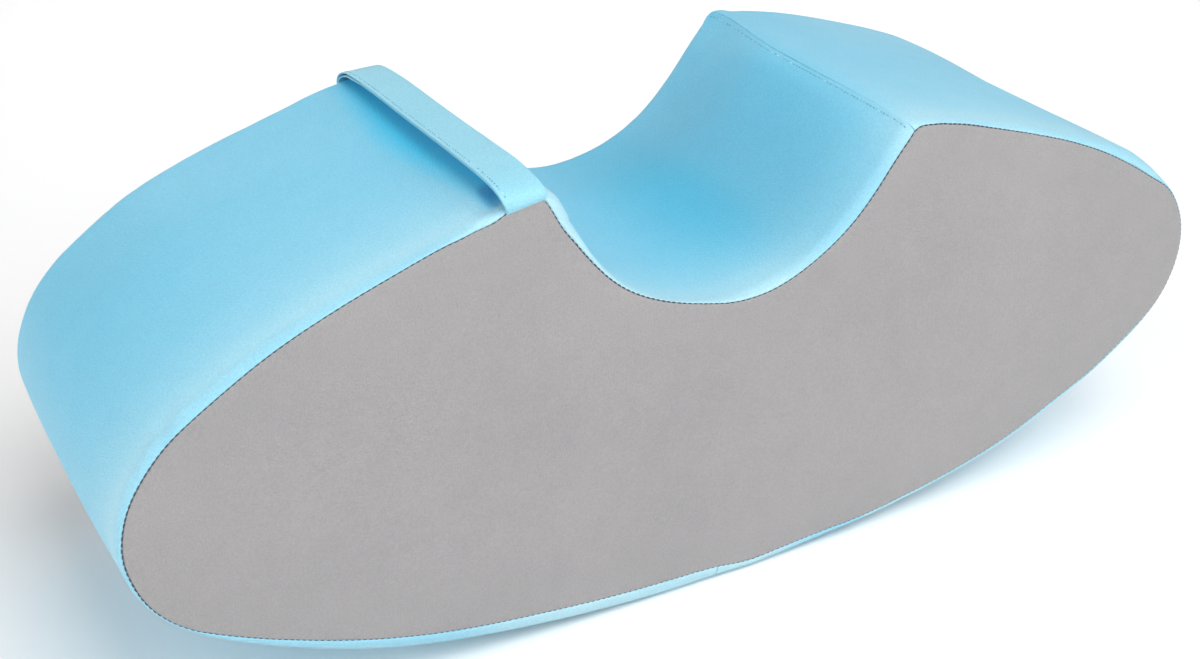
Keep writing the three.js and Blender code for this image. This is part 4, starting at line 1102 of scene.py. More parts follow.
def thin(points, gap):
    """Leaves out points that lie closer than gap to an earlier one."""
    cells, out = {}, []
    for p in points:
        key = (int(p[0] // gap), int(p[1] // gap))
        near = False
        for dx in (-1, 0, 1):
            for dy in (-1, 0, 1):
                for q in cells.get((key[0] + dx, key[1] + dy), ()):
                    if (q[0] - p[0]) ** 2 + (q[1] - p[1]) ** 2 < gap * gap:
                        near = True
        if not near:
            cells.setdefault(key, []).append(p)
            out.append(p)
    return np.array(out)


# zip's arc on the far side
ARC_C, ZIP_R = 959.531, 936.0


def polar(r, a):
    return np.array([r * math.sin(math.radians(a)), ARC_C - r * math.cos(math.radians(a))])


def slit_line(half, deg, steps, round_end=5):
    """A long slot round the zip's arc, with round ends."""
    pts = [polar(ZIP_R + half, -deg + 2 * deg * k / steps) for k in range(steps + 1)]
    for k in range(1, round_end):
        a = math.pi * k / round_end
        r = ZIP_R + half * math.cos(a)
        pts.append(polar(r, deg + math.degrees(half * math.sin(a) * 0.55 / ZIP_R)))
    pts += [polar(ZIP_R - half, deg - 2 * deg * k / steps) for k in range(steps + 1)]
    for k in range(1, round_end):
        a = math.pi * k / round_end
        r = ZIP_R - half * math.cos(a)
        pts.append(polar(r, -deg - math.degrees(half * math.sin(a) * 0.55 / ZIP_R)))
    return np.array(pts)


def slit_rings(start, sign):
    """The folded edge round the slit: rings from the turned-in lip to the panel."""
    spec = [(5.0, 124.0 + 1.05, None), (6.0, 125.3, None), (6.35, 125.7, None), (6.5, 126.1, None), (6.75, 126.45, None),
            (7.3, 126.62, None), (8.2, 126.66, None), (9.0, 126.6, None), (9.5, 126.46, None), (10.0, 126.6, None)]
    v, rows = [], []
    for half, y, _ in spec:
        ring = slit_line(half, 14.2, 110)
        rows.append([start + len(v) + k for k in range(len(ring))])
        v += [np.array([p[0], sign * y, p[1]]) for p in ring]
    faces = []
    for a, b in zip(rows, rows[1:]):
        n = len(a)
        for k in range(n):
            l = (k + 1) % n
            faces.append((a[k], b[k], b[l], a[l]))
    # all faces look out of the far side
    vv = np.array(v)
    f = faces[(len(spec) - 2) * len(rows[0])]
    p = [vv[x - start] for x in f]
    if (np.cross(p[1] - p[0], p[2] - p[0])[1] > 0) != (sign > 0):
        faces = [g[::-1] for g in faces]
    return v, faces, rows[-1]


side_near = side_panel("cover_side_near", -1, (2.2, 3.4, 5.0, 7.0, 9.6, 13.0, 17.5, 23.0, 30.0),
                       replaces=("side_panel_near",))


def slit_like_rings(start, sign):
    v, faces, loop = slit_rings(start, sign)
    return v, faces, loop


side_far = side_panel("cover_side_far", 1, (2.1, 3.1), slit=slit_like_rings, spacing=8.5, replaces=("side_panel_far",))

# ------------------------------------------------------------------ foam block
def foam_block():
    rows = []
    for o in ALL:
        n = int((o.s[-1] - o.s[0]) / 7.5)
        s = np.linspace(o.s[0], o.s[-1], n + 1)[:-1]
        st = at(o, s)
        for i in range(len(s)):
            m = st["m"][i]
            mh = unit(m)
            d_c = min([1e9] + [abs(s[i] - o.s[0])] * o.corner[0] + [abs(s[i] - o.s[-1])] * o.corner[1])
            extra = 2.6 * max(0.0, 1 - d_c / 7.0)
            press = 2.2 * math.exp(-((float(np.interp(s[i], o.s, o.old)) - 1384) / 12) ** 2)
            row = []
            for sign, P, Q in ((-1, st["pn"][i], st["qn"][i]), (1, st["pf"][i], st["qf"][i])):
                half = []
                e = float(np.linalg.norm(Q - P))
                a = 0.34 + 0.34 * math.exp(-e / 2.5)
                b = math.sqrt(1 - a * a)
                lip = np.array([mh[0] * a, -sign * b, mh[1] * a])
                q3 = np.array([Q[0], sign * W, Q[1]])
                inw = np.array([mh[0], 0, mh[1]])
                half.append(np.array([Q[0] + m[0] * 3.6, sign * (W - 1.9), Q[1] + m[1] * 3.6]))
                half.append(q3 + lip * 7.4 + inw * 2.6)
                half.append(q3 + lip * 7.4 - inw * 0.6)
                for t in (0.45, 0.7, 1.0):
                    th = t * math.pi / 2
                    soft = st["soft"][i] if sign < 0 else 0.0
                    xz = P + (Q - P) * edge_drop(math.cos(th), soft) + mh * (1.9 + 0.5 * soft + extra + (press if sign < 0 else 0.0))
                    y = sign * (W - EDGE * (1 - math.cos(th)) - 1.9 * (1 - t))
                    half.append(np.array([xz[0], y, xz[1]]))
                row.append(half)
            mid = []
            for y in (-100, -85, -50, 0, 50, 85):
                xz = blend_y(float(y), st["pn"][i], st["pm"][i], st["pf"][i], st["soft"][i]) + mh * (1.9 + extra + press * max(0.0, (-85.0 - y) / 15 + 0.35 * (y == -85)))
                mid.append(np.array([xz[0], y, xz[1]]))
            rows.append(row[0] + mid + row[1][::-1])
    g = np.array(rows)
    dent = 4.4 * np.exp(-((g[:, :, 0] + 158) / 13) ** 2 - ((g[:, :, 1] + 112) / 24) ** 2)
    dent += 1.8 * np.exp(-((g[:, :, 0] + 151) / 15) ** 2 - ((g[:, :, 1] + 90) / 32) ** 2)
    g[:, :, 2] -= dent * smooth((g[:, :, 2] - 280) / 12)
    g[:, :, 2] = np.maximum(g[:, :, 2], 1.4)
    i_n, k_n, _ = g.shape
    v = list(g.reshape(-1, 3))
    faces = [tuple(f) for f in grid_faces(i_n, k_n, wrap=True)]
    if volume_sign(np.array(v), faces):
        faces = [f[::-1] for f in faces]
    for k, sign in ((0, -1), (k_n - 1, 1)):
        loop = g[:, k][:, ::2]
        pts = [Vector(p) for p in loop]
        edges = [(a, (a + 1) % len(loop)) for a in range(len(loop))]
        hexes = np.array([[x + (9 if j % 2 else 0), z] for j, z in enumerate(np.arange(0, 330, 15.6))
                          for x in np.arange(-400, 400, 18.0)])
        if sign > 0:
            hexes = np.vstack([hexes] + [slit_line(h, 14.6, 40) for h in (11.8, 9.0, 4.0)])
        ok = point_in(hexes, loop) & (nearest(hexes, densify(loop, 3.0)) > 3.0)
        hexes = thin(hexes[ok][::-1], 3.0)
        pts += [Vector(p) for p in hexes]
        out = geometry.delaunay_2d_cdt(pts, edges, [], 0, 1e-6)
        back = {}
        for n_, (p, src) in enumerate(zip(out[0], out[3])):
            if src and src[0] < len(loop):
                back[n_] = src[0] * k_n + k
            else:
                back[n_] = len(v)
                y = W - 1.9
                if sign > 0:
                    r = math.hypot(p[0], p[1] - ARC_C)
                    a = abs(math.degrees(math.atan2(p[0], ARC_C - p[1])))
                    off = max(abs(r - ZIP_R) - 9.5, (a - 14.4) * 16.0, 0)
                    y -= 4.4 * (1 - float(smooth(np.array(off / 3.0))))
                v.append(np.array([p[0], sign * y, p[1]]))
        centres = np.array([np.mean([out[0][x] for x in f], axis=0) for f in out[2]])
        good = point_in(centres, loop)
        tri = [tuple(back[x] for x in f) for f, ok_ in zip(out[2], good) if ok_]
        vv = np.array(v)
        c = np.cross(vv[tri[0][1]] - vv[tri[0][0]], vv[tri[0][2]] - vv[tri[0][0]])
        if (c[1] > 0) != (sign > 0):
            tri = [t[::-1] for t in tri]
        faces += tri
    return piece("foam_block", np.array(v), faces, FOAM, replaces=("foam_core",))


foam = foam_block()

# ------------------------------------------------------------------ stitches
def stitch_row(points, normals, pitch, length, radius, sink, lift=0.0, flat=0.8, sides=5, phase=0.0):
    """Separate stitches along a line of points: each dips at its ends into the cover."""
    p = np.asarray(points, float)
    n = np.asarray(normals, float)
    d = np.r_[0, np.cumsum(np.linalg.norm(np.diff(p, axis=0), axis=1))]
    parts = []
    count = int((d[-1] - length - phase) / pitch)
    u = np.linspace(-1, 1, 5)
    for j in range(count + 1):
        a = phase + j * pitch + 0.25 * pitch * noise.noise(Vector((j * 1.7, d[-1], 2.0))) * 0.5
        q = a + (u + 1) / 2 * length
        c = np.c_[[np.interp(q, d, p[:, k]) for k in range(3)]].T
        m = unit(np.c_[[np.interp(q, d, n[:, k]) for k in range(3)]].T)
        dip = lift - sink * u**2
        parts.append(tube(c + m * dip[:, None], radius * np.array([0.7, 1, 1.05, 1, 0.7]), sides, m, flat))
    return join(parts)


OPEN = ([0, 700, 735, 840, 880, 985, 1010, 1095, 1130, 1374, 1388, 1490, 1530, 1929.23],
        [0.35, 0.35, 1, 1, 0.45, 0.45, 0.9, 0.9, 0.4, 0.45, 1, 1, 0.4, 0.35])


def seam_line(sign):
    """Along a side seam: points in the seam's groove and the direction out of it."""
    pts, nor = [], []
    for o in ALL:
        s = np.arange(o.s[0], o.s[-1], 1.0)
        st = at(o, s)
        q = st["qn"] if sign < 0 else st["qf"]
        outl = st["pn"] if sign < 0 else st["pf"]
        mh = unit(st["m"])
        e = np.linalg.norm(q - outl, axis=1)
        a = 0.34 + 0.34 * np.exp(-e / 2.5)
        b = np.sqrt(1 - a * a)
        for i in range(len(s)):
            lip = np.array([mh[i][0] * a[i], -sign * b[i], mh[i][1] * a[i]])
            show = np.interp(np.interp(s[i], o.s, o.old), *OPEN)
            pts.append(np.array([q[i][0], sign * W, q[i][1]]) + lip * (0.26 + 0.85 * (1 - show)))
            nor.append(-lip)
    pts.append(pts[0])
    nor.append(nor[0])
    return np.array(pts), np.array(nor)


for sign, name, cad in ((-1, "seam_stitches_near", "seam_thread_near"), (1, "seam_stitches_far", "seam_thread_far")):
    pts, nor = seam_line(sign)
    v, f = stitch_row(pts, nor, 4.1, 2.75, 0.44, 0.34, 0.16)
    piece(name, v, f, THREAD_DARK, replaces=(cad,))


def surface_line(g, s, where):
    """A line across the width of a panel's outer surface at station where."""
    j = int(np.clip(np.searchsorted(s, where), 1, len(s) - 1))
    t = (where - s[j - 1]) / (s[j] - s[j - 1])
    return g[j - 1] * (1 - t) + g[j] * t


def cross_row(name, g, s, where, out, mat, cad, pitch, length, radius, lift, sink, lo=9, hi=-9, trim=3.0):
    line = surface_line(g, s, where)[lo:hi]
    n = np.broadcast_to(np.array([out[0], 0, out[1]]), line.shape)
    v, f = stitch_row(line + n * 0.0, n, pitch, length, radius, sink, lift, phase=trim)
    piece(name, v, f, mat, replaces=(cad,))


nS0, nS1 = -S.n[0], -S.n[-1]
cross_row("crest_topstitches_right", grid_s, s_s[:len(s_s)], S.s[0] + 4.0, nS0, THREAD_BLUE,
          "crest_topstitch_right", 3.3, 2.3, 0.36, 0.16, 0.34)
cross_row("crest_topstitches_left", grid_s, s_s, S.s[-1] - 4.0, nS1, THREAD_BLUE,
          "crest_topstitch_left", 3.3, 2.3, 0.36, 0.16, 0.34)


def cross_seam(name, o, where, mat, cad, sink):
    st = at(o, where)
    m = st["m"][0]
    ys = np.linspace(-(W - EDGE) - 6, W - EDGE + 6, 120)
    pts = []
    for y in ys:
        xz = blend_y(y, st["pn"][0], st["pm"][0], st["pf"][0], st["soft"][0])
        edge = max(0.0, (abs(y) - (W - EDGE)) / EDGE)
        k = float(edge_drop(np.array(edge), st["soft"][0] if y < 0 else 0.0))
        q = st["qn"][0] if y < 0 else st["qf"][0]
        xz = xz + (q - xz) * k
        droop = 0.9 * min(1.0, max(0.0, (abs(y) - 62) / (W - EDGE - 62))) ** 2 * min(1.0, max(0.0, (xz[1] - 6) / 30))
        low = sink + droop * (1 - edge)
        pts.append([xz[0] + m[0] * low, y, xz[1] + m[1] * low])
    pts = np.array(pts)
    n = np.broadcast_to(np.array([-m[0], 0, -m[1]]), pts.shape)
    v, f = stitch_row(pts, unit(n), 3.2, 2.3, 0.33, 0.3, 0.1)
    v[:, 2] = np.maximum(v[:, 2], 0.15)
    piece(name, v, f, mat, replaces=(cad,))


cross_seam("crest_stitches_right", S, S.s[0], THREAD_BLUE, "crest_thread_right", 0.7)
cross_seam("crest_stitches_left", S, S.s[-1], THREAD_BLUE, "crest_thread_left", 0.7)
cross_seam("belly_stitches", R, R.s[0], THREAD_DARK, "bottom_seam_thread", 0.9)

# ------------------------------------------------------------------ strap
# rows from the near end to the far end: left edge and right edge of the upper face
STRAP = [
    ((-152.6, -124.6, 312.0), (-126.6, -124.2, 316.2)),
    ((-152.6, -126.9, 316.4), (-126.4, -126.5, 320.2)),
    ((-153.0, -128.4, 319.6), (-126.2, -127.6, 322.8)),
    ((-154.2, -127.2, 323.8), (-126.2, -126.0, 325.8)),
    ((-155.3, -121.8, 327.9), (-126.7, -121.8, 328.8)),
    ((-155.9, -111.0, 330.7), (-127.7, -111.0, 331.6)),
    ((-156.0, -96.0, 331.5), (-128.1, -96.0, 333.2)),
    ((-156.0, -80.7, 331.4), (-128.4, -80.7, 333.3)),
    ((-156.0, -65.0, 331.1), (-128.5, -65.0, 332.7)),
    ((-156.0, -47.0, 330.8), (-128.5, -47.0, 332.0)),
    ((-156.0, -24.6, 330.1), (-128.5, -24.6, 331.0)),
    ((-156.3, 1.8, 329.6), (-128.5, 1.8, 330.1)),
    ((-156.5, 29.5, 328.9), (-128.5, 29.5, 329.3)),
    ((-156.5, 50.2, 328.4), (-128.5, 50.2, 328.9)),
    ((-156.7, 73.4, 327.7), (-128.5, 73.4, 328.1)),
    ((-156.8, 88.0, 327.1), (-128.6, 88.0, 327.3)),
    ((-157.0, 100.0, 326.3), (-128.7, 100.0, 326.3)),
    ((-157.0, 110.0, 325.0), (-128.8, 110.0, 325.1)),
    ((-157.1, 118.2, 322.5), (-129.0, 118.4, 323.3)),
    ((-157.3, 124.4, 319.0), (-129.3, 124.2, 320.8)),
    ((-157.4, 127.8, 314.6), (-129.8, 127.2, 317.4)),
    ((-157.4, 128.0, 310.0), (-130.2, 127.8, 313.6)),
    ((-157.0, 125.8, 305.6), (-130.2, 125.8, 309.4)),
]


def strap_rows(n):
    a = np.array([q[0] for q in STRAP], float)
    b = np.array([q[1] for q in STRAP], float)
    mid = (a + b) / 2
    t = lengths(mid)
    q = np.linspace(0, t[-1], n)
    return natural(t, a)(q), natural(t, b)(q), t[-1]


def strap():
    a, b, length = strap_rows(120)
    mid = (a + b) / 2
    tan = unit(np.gradient(mid, axis=0))
    wdir = unit(b - a)
    nor = unit(np.cross(wdir, tan))
    if nor[60][2] < 0:
        nor = -nor
    half = np.linalg.norm(b - a, axis=1) / 2
    # one strip folded in two along its right edge; section points as (u, depth below the upper face)
    t1 = 1.05
    def section(total):
        outer = [(-1.0, 0.34), (-0.985, 0.08), (-0.95, 0.0), (-0.86, -0.04), (-0.80, 0.14), (-0.74, -0.02),
                 (-0.6, -0.05), (-0.3, -0.06), (0.0, -0.06), (0.3, -0.05), (0.6, -0.02), (0.8, 0.0), (0.93, 0.1),
                 (0.975, 0.42)]
        fold = [(1.0, total / 2), (0.975, total - 0.42), (0.93, total - 0.1)]
        under = [(0.8, total), (0.6, total), (0.3, total), (0.0, total), (-0.3, total), (-0.6, total),
                 (-0.8, total - 0.1), (-0.93, total), (-0.975, total - 0.1), (-0.985, total - 0.35),
                 (-0.965, total - 0.8), (-0.92, total - t1)]
        inner = [(-0.6, total - t1), (-0.2, total - t1), (0.3, total - t1), (0.8, total - t1),
                 (0.89, total - t1 - 0.04), (0.905, total / 2), (0.89, t1 + 0.04), (0.8, t1), (0.3, t1), (-0.2, t1),
                 (-0.6, t1), (-0.93, t1), (-0.985, 0.8)]
        return outer + fold + under + inner

    # the two layers stand apart a little where the strap bends over the far edge
    along = lengths(mid)
    gap = 0.3 + 0.9 * smooth((along - 215) / 30) * (1 - smooth((along - 262) / 14))
    k = len(section(2.4))
    rows = []
    for i in range(len(mid)):
        sag = 0.25 * noise.noise(Vector((i * 0.09, 4.0, 1.0)))
        row = [mid[i] + wdir[i] * (u * half[i]) - nor[i] * (d + sag * (1 - u * u)) for u, d in section(2 * t1 + gap[i])]
        rows.append(row)
    v = np.array(rows).reshape(-1, 3)
    faces = []
    n = len(rows)
    for i in range(n - 1):
        for j in range(k):
            l = (j + 1) % k
            faces.append((i * k + j, i * k + l, (i + 1) * k + l, (i + 1) * k + j))
    tri = geometry.tessellate_polygon([[Vector((u * 13.2, -d, 0)) for u, d in section(2.4)]])
    for x, y, z in tri:
        faces.append((x, y, z))
        faces.append(((n - 1) * k + z, (n - 1) * k + y, (n - 1) * k + x))
    v2, f2 = v, fix_turns(v, faces)
    # the strap's paler blue is a painted highlight
    ob = piece("strap_folded", v2, f2, BLUE_WITH_PAINTED_HIGHLIGHT, replaces=("handle_strap",))
    ob["cut"] = [length * MM, 0.0535]
    # stitches near the left edge of the upper face
    line = mid - wdir * (0.80 * half)[:, None] - nor * 0.14
    v3, f3 = stitch_row(line[6:-7], nor[6:-7], 3.1, 2.1, 0.34, 0.34, 0.16)
    piece("strap_stitches", v3, f3, THREAD_BLUE, replaces=("strap_topstitch",))
    return ob


def fix_turns(v, faces):
    """Makes the turn of every face agree with its neighbours."""
    import bmesh
    bm = bmesh.new()
    vs = [bm.verts.new(p) for p in v]
    for f in faces:
        try:
            bm.faces.new([vs[x] for x in f])
        except ValueError:
            pass
    bm.verts.index_update()
    bmesh.ops.recalc_face_normals(bm, faces=bm.faces[:])
    out = [tuple(x.index for x in f.verts) for f in bm.faces]
    bm.free()
    return out


strap_ob = strap()

# ------------------------------------------------------------------ zip
Y_TAPE0, Y_TAPE1 = 124.2, 125.0
Y_COIL0, Y_COIL1 = 125.3, 127.3
GAP_R = 0.7


def arc_strip(name, section, deg, steps, mat, cad, bend=None):
    rows = []
    for k in range(steps + 1):
        a = -deg + 2 * deg * k / steps
        rows.append([np.array([*polar(r, a)[:1], y, polar(r, a)[1]]) for r, y in section])
    v = np.array(rows).reshape(-1, 3)
    n, m = steps + 1, len(section)
    faces = []
    for i in range(n - 1):
        for j in range(m):
            l = (j + 1) % m
            faces.append((i * m + j, i * m + l, (i + 1) * m + l, (i + 1) * m + j))
    faces.append(tuple(range(m))[::-1])
    faces.append(tuple((n - 1) * m + j for j in range(m)))
    return piece(name, v, fix_turns(v, faces), mat, replaces=(cad,))


def tape_section(side):
    r = lambda q: ZIP_R + side * (GAP_R + q)
    top = [(0.0, Y_TAPE1 - 0.25), (0.25, Y_TAPE1), (3.2, Y_TAPE1), (3.5, Y_TAPE1 - 0.12), (3.9, Y_TAPE1), (6.4, Y_TAPE1),
           (6.7, Y_TAPE1 - 0.1), (7.1, Y_TAPE1), (9.7, Y_TAPE1 - 0.05), (10.0, Y_TAPE1 - 0.35)]
    low = [(9.8, Y_TAPE0), (5.0, Y_TAPE0), (0.2, Y_TAPE0)]
    return [(r(q), y) for q, y in top + low]


arc_strip("zip_tape_low", tape_section(1), 14.2, 90, TAPE, "zip_tape_lower")
arc_strip("zip_tape_high", tape_section(-1), 14.2, 90, TAPE, "zip_tape_upper")


def coil(name, side, cad):
    """One row of a nylon coil: a loop for each tooth, flattened, with a head at the zip's middle."""
    pitch = 1.42 / ZIP_R * 180 / math.pi
    parts = []
    n = int(2 * 13.7 / pitch)
    for k in range(n):
        a = -13.7 + pitch * (k + (0.5 if side > 0 else 1.0))
        if a > 13.66:
            break
        lean = pitch * 0.16
        prof = [(2.95, 0.0, 125.72), (2.1, 0.3, 125.55), (1.0, 0.45, 125.6), (0.42, 0.5, 126.2), (0.40, 0.45, 126.75),
                (0.95, 0.3, 127.05), (2.0, 0.1, 127.02), (2.85, -0.1, 126.75)]
        path = [np.array([*polar(ZIP_R + side * (q + 0.32), a + lean * w)[:1], y, polar(ZIP_R + side * (q + 0.32), a + lean * w)[1]])
                for q, w, y in prof]
        parts.append(tube(path, [0.26, 0.27, 0.28, 0.34, 0.34, 0.28, 0.27, 0.26], 5,
                          np.array([math.cos(math.radians(a)), 0, math.sin(math.radians(a))]), 1.0))
    # the sewing cord that holds the coil on the tape
    cord = [np.array([*polar(ZIP_R + side * 2.35, q)[:1], 126.4, polar(ZIP_R + side * 2.35, q)[1]])
            for q in np.linspace(-13.68, 13.68, 120)]
    parts.append(tube(cord, 0.34, 6, (0, 1, 0)))
    v, f = join(parts)
    piece(name, v, f, COIL, replaces=(cad,))


coil("zip_coil_low", 1, "zip_coil_lower")
coil("zip_coil_high", -1, "zip_coil_upper")


def place_zip(v, deg):
    """From (u along the zip, y out, v up across it) to the frame, at an angle along the arc."""
    a = math.radians(deg)
    c = polar(ZIP_R, deg)
    v = np.asarray(v, float)
    u, y, w = v[:, 0], v[:, 1], v[:, 2]
    return np.c_[c[0] + u * math.cos(a) - w * math.sin(a), y, c[1] + u * math.sin(a) + w * math.cos(a)]


def rounded_plate(outline, y0, y1, bevel, steps=3, holes=()):
    """A plate with rounded rims from an outline in (u, v)."""
    import bmesh
    bm = bmesh.new()
    loops = []
    for poly in (outline, *holes):
        loops.append([bm.verts.new((p[0], y0, p[1])) for p in poly])
    edges = []
    for lp in loops:
        for a, b in zip(lp, lp[1:] + lp[:1]):
            edges.append(bm.edges.new((a, b)))
    bmesh.ops.triangle_fill(bm, use_beauty=True, edges=edges)
    bmesh.ops.dissolve_limit(bm, angle_limit=0.01, verts=bm.verts[:], edges=bm.edges[:])
    ext = bmesh.ops.extrude_face_region(bm, geom=bm.faces[:])
    moved = [g for g in ext["geom"] if isinstance(g, bmesh.types.BMVert)]
    for q in moved:
        q.co.y = y1
    bmesh.ops.recalc_face_normals(bm, faces=bm.faces[:])
    rim = [e for e in bm.edges if len(e.link_faces) == 2 and e.calc_face_angle(0) > 1.2
           and abs(e.verts[0].co.y - e.verts[1].co.y) < 1e-6]
    if bevel > 0:
        bmesh.ops.bevel(bm, geom=rim, offset=bevel, segments=steps, profile=0.5, affect="EDGES")
    bmesh.ops.triangulate(bm, faces=[f for f in bm.faces if len(f.verts) > 4])
    bm.verts.index_update()
    v = np.array([q.co[:] for q in bm.verts])
    f = [tuple(x.index for x in fc.verts) for fc in bm.faces]
    bm.free()
    return v, f


def round_outline(pts, radius, n=4):
    """Rounds the corners of a polygon."""
    out = []
    p = [np.array(q, float) for q in pts]
    for i, q in enumerate(p):
        a, b = p[i - 1], p[(i + 1) % len(p)]
        da, db = unit(a - q), unit(b - q)
        r = min(radius, np.linalg.norm(a - q) * 0.45, np.linalg.norm(b - q) * 0.45)
        s0, s1 = q + da * r, q + db * r
        for k in range(n + 1):
            t = k / n
            out.append(s0 * (1 - t) ** 2 + q * 2 * t * (1 - t) + s1 * t * t)
    return [tuple(q) for q in out]


def slider():
    body = [(-5.6, -3.5), (-4.4, -4.5), (4.0, -4.8), (5.6, -3.4), (5.9, 0), (5.6, 3.4), (4.0, 4.8), (-4.4, 4.5), (-5.6, 3.5)]
    parts = []
    top = round_outline(body, 1.0, 3)
    parts.append(rounded_plate(top, 127.7, 128.9, 0.32))
    parts.append(rounded_plate([(u * 0.94, v * 0.9) for u, v in top], 122.65, 123.9, 0.3))
    for sgn in (-1, 1):
        wall = round_outline([(-4.2, sgn * 3.6), (4.0, sgn * 3.75), (4.0, sgn * 4.6), (-4.2, sgn * 4.4)], 0.3, 2)
        parts.append(rounded_plate(wall if sgn < 0 else wall[::-1], 125.5, 128.0, 0.0))
    parts.append(rounded_plate(round_outline([(1.6, -0.3), (4.4, -0.3), (4.4, 0.3), (1.6, 0.3)], 0.12, 2), 123.4, 128.2, 0.0))
    # bail: a bent bar of flat section
    path = [(-3.35, 128.2), (-3.4, 130.2), (-3.25, 131.4), (-2.6, 132.0), (-1.2, 132.2), (0, 132.25), (1.2, 132.2),
            (2.6, 132.0), (3.25, 131.4), (3.4, 130.2), (3.35, 128.2)]
    pts = np.array([[u, y, 0] for u, y in path])
    t = unit(np.gradient(pts, axis=0))
    nn = np.c_[-t[:, 1], t[:, 0], 0 * t[:, 0]]
    sec = [(-1.1, -0.22), (-0.95, -0.42), (0.95, -0.42), (1.1, -0.22), (1.1, 0.22), (0.95, 0.42), (-0.95, 0.42), (-1.1, 0.22)]
    v = np.array([[pts[i] + nn[i] * b + np.array([0, 0, a]) for a, b in sec] for i in range(len(pts))]).reshape(-1, 3)
    m = len(sec)
    f = [(i * m + j, i * m + (j + 1) % m, (i + 1) * m + (j + 1) % m, (i + 1) * m + j) for i in range(len(pts) - 1) for j in range(m)]
    f += [tuple(range(m))[::-1], tuple((len(pts) - 1) * m + j for j in range(m))]
    parts.append((v, fix_turns(v, f)))
    done = []
    for v, f in parts:
        w = place_zip(v, 12.9)
        if volume(w, f) < 0:
            f = [g[::-1] for g in f]
        done.append((w, f))
    v, f = join(done)
    ob = piece("zip_slider_body", v, f, METAL, body="slider", replaces=("zip_slider",), flat=False)
    return ob


def pull_tab():
    shape = [(-5.0, -3.2), (0.8, -3.0), (0.8, 3.0), (-5.0, 3.2), (-8, 3.4), (-22, 4.2), (-24.4, 2.4), (-24.4, -2.4),
             (-22, -4.2), (-8, -3.4)]
    eye = [(-5.2, -1.6), (-5.2, 1.6), (-0.8, 1.6), (-0.8, -1.6)]
    grip = [(-21.6, -2.2), (-21.6, 2.2), (-17.6, 2.0), (-17.6, -2.0)]
    v, f = rounded_plate(round_outline(shape, 1.6, 4), 129.75, 130.65, 0.26,
                         holes=(round_outline(eye, 0.7, 4), round_outline(grip, 1.2, 4)))
    parts = [(v, f)]
    for u in (-15.6, -13.8, -12.0, -10.2):
        half = 2.6 + 0.05 * abs(u + 8)
        p = np.array([[u, 130.62, w] for w in np.linspace(-half, half, 7)])
        parts.append(tube(p, [0.16, 0.26, 0.3, 0.3, 0.3, 0.26, 0.16], 8, (0, 1, 0)))
    done = []
    for v, f in parts:
        w = place_zip(v, 12.9)
        if volume(w, f) < 0:
            f = [g[::-1] for g in f]
        done.append((w, f))
    v, f = join(done)
    return piece("zip_tab", v, f, METAL, body="pull_tab", replaces=("zip_pull_tab",))


slider_ob, tab_ob = slider(), pull_tab()
for ob_ in (slider_ob, tab_ob):
    mod = ob_.modifiers.new("edges", "EDGE_SPLIT")
    mod.split_angle = math.radians(38)


def stop(name, deg, cad):
    prof = round_outline([(-1.6, -2.6), (1.6, -2.6), (1.6, 2.6), (-1.6, 2.6)], 0.7, 3)
    prof = [(u * 0.55, w) for u, w in prof]
    v, f = rounded_plate(prof, 125.15, 127.5, 0.3)
    w = place_zip(v, deg)
    if volume(w, f) < 0:
        f = [g[::-1] for g in f]
    piece(name, w, f, METAL, replaces=(cad,))


stop("zip_end_closed", 13.84, "zip_stop_closed")
stop("zip_end_open", -13.84, "zip_stop_open")

loop = slit_line(9.5, 14.35, 160, 6)
loop = np.vstack([loop, loop[:1]])
pts3 = np.c_[loop[:, 0], np.full(len(loop), W), loop[:, 1]]
v, f = stitch_row(pts3, np.broadcast_to(np.array([0.0, 1.0, 0.0]), pts3.shape), 3.0, 2.1, 0.34, 0.34, 0.12)
piece("zip_stitches", v, f, THREAD_DARK, replaces=("zip_topstitch",))

# ------------------------------------------------------------------ the cut sizes are taken off the cloth pieces again
for ob_ in (band_right, band_left, seat, side_near, side_far, strap_ob):
    del ob_["cut"]

# ------------------------------------------------------------------ floor, light and camera
def stage_floor():
    me = bpy.data.meshes.new("floor")
    n, half = 40, 6.0
    verts = [(-half + 2 * half * i / n, -half + 2 * half * j / n, -0.0002) for i in range(n + 1) for j in range(n + 1)]
    faces = [(i * (n + 1) + j, (i + 1) * (n + 1) + j, (i + 1) * (n + 1) + j + 1, i * (n + 1) + j + 1)
             for i in range(n) for j in range(n)]
    me.from_pydata(verts, [], faces)
    ob = bpy.data.objects.new("floor", me)
    bpy.context.scene.collection.objects.link(ob)
    m, nt, p = nodes_of("floor_paint")
    tc = node(nt, "ShaderNodeTexCoord")
    nz = node(nt, "ShaderNodeTexNoise")
    nz.inputs["Scale"].default_value = 3
    link(nt, tc.outputs["Object"], nz.inputs["Vector"])
    r = ramp(nt, nz.outputs["Fac"], [(0.3, (0.955, 0.955, 0.955)), (0.7, (0.975, 0.975, 0.975))])
    link(nt, r.outputs[0], p.inputs["Base Color"])
    p.inputs["Roughness"].default_value = 0.85
    p.inputs["Specular IOR Level"].default_value = 0.2
    me.materials.append(m)


stage_floor()


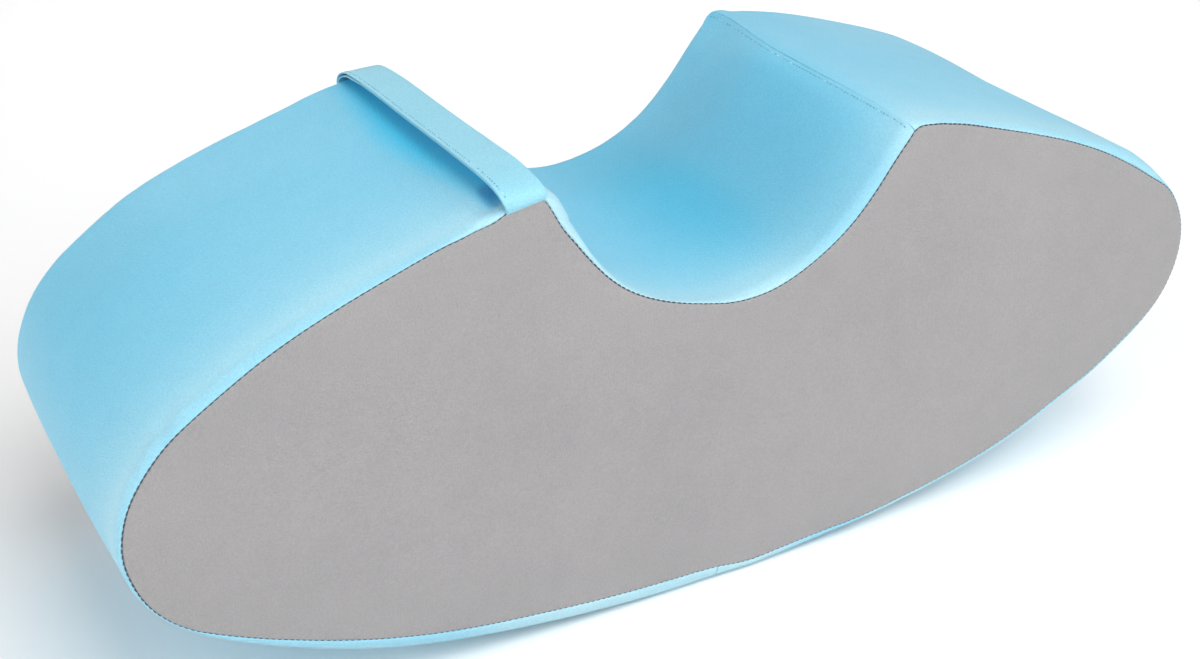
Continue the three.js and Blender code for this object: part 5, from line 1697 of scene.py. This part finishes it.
def area_light(name, place, target, size, power, colour=(1, 1, 1)):
    d = bpy.data.lights.new(name, "AREA")
    d.shape = "RECTANGLE"
    d.size, d.size_y = size
    d.energy = power
    d.color = colour
    ob = bpy.data.objects.new(name, d)
    bpy.context.scene.collection.objects.link(ob)
    ob.location = place
    ob.rotation_euler = (Vector(target) - Vector(place)).to_track_quat("-Z", "Y").to_euler()
    return ob


# soft boxes 3 m away: azimuth from the near side round towards +X, elevation, power in watts
for number, (az, el, power) in enumerate((
    (45, 15, 2.4), (135, 15, 7.3), (180, 15, 10.3), (270, 15, 31.5), (315, 15, 5.6), (0, 40, 23.4), (45, 40, 34.0),
    (135, 40, 3.6), (225, 40, 7.0), (315, 40, 8.0), (0, 65, 38.5), (120, 65, 5.3),
)):
    a_, e_ = math.radians(az), math.radians(el)
    way = Vector((math.sin(a_) * math.cos(e_), -math.cos(a_) * math.cos(e_), math.sin(e_)))
    area_light(f"soft_box_{number}", Vector((0, 0, 0.15)) + way * 3.0, (0, 0, 0.15), (1.5, 1.5), power)

# the paper behind the rocker has a lamp of its own
area_light("backdrop_lamp", (0.4, 0.9, 1.3), (1.2, 2.6, 0.0), (1.0, 1.0), 9)

world = bpy.data.worlds.new("studio")
bpy.context.scene.world = world
world.use_nodes = True
bg = world.node_tree.nodes["Background"]
bg.inputs[0].default_value = (1, 1, 1, 1)
bg.inputs[1].default_value = 0.05

cam = bpy.data.cameras.new("camera")
cam.sensor_fit = "HORIZONTAL"
cam.sensor_width = 36.0
cam.lens = 52.559
cam.clip_start, cam.clip_end = 0.05, 50
cam_ob = bpy.data.objects.new("camera", cam)
bpy.context.scene.collection.objects.link(cam_ob)
right_v = Vector((0.87710917, -0.4802789, -0.00341721))
up_v = Vector((0.23545117, 0.42376956, 0.87463256))
back_v = -Vector((0.41861946, 0.76795282, -0.48477439))
rot = Matrix((right_v, up_v, back_v)).transposed()
cam_ob.matrix_world = Matrix.Translation((-0.540065, -0.948701, 0.743957)) @ rot.to_4x4()
bpy.context.scene.camera = cam_ob

view = bpy.context.scene.view_settings
view.view_transform = "Standard"
view.look = "None"
view.exposure = 0.0
view.gamma = 1.0
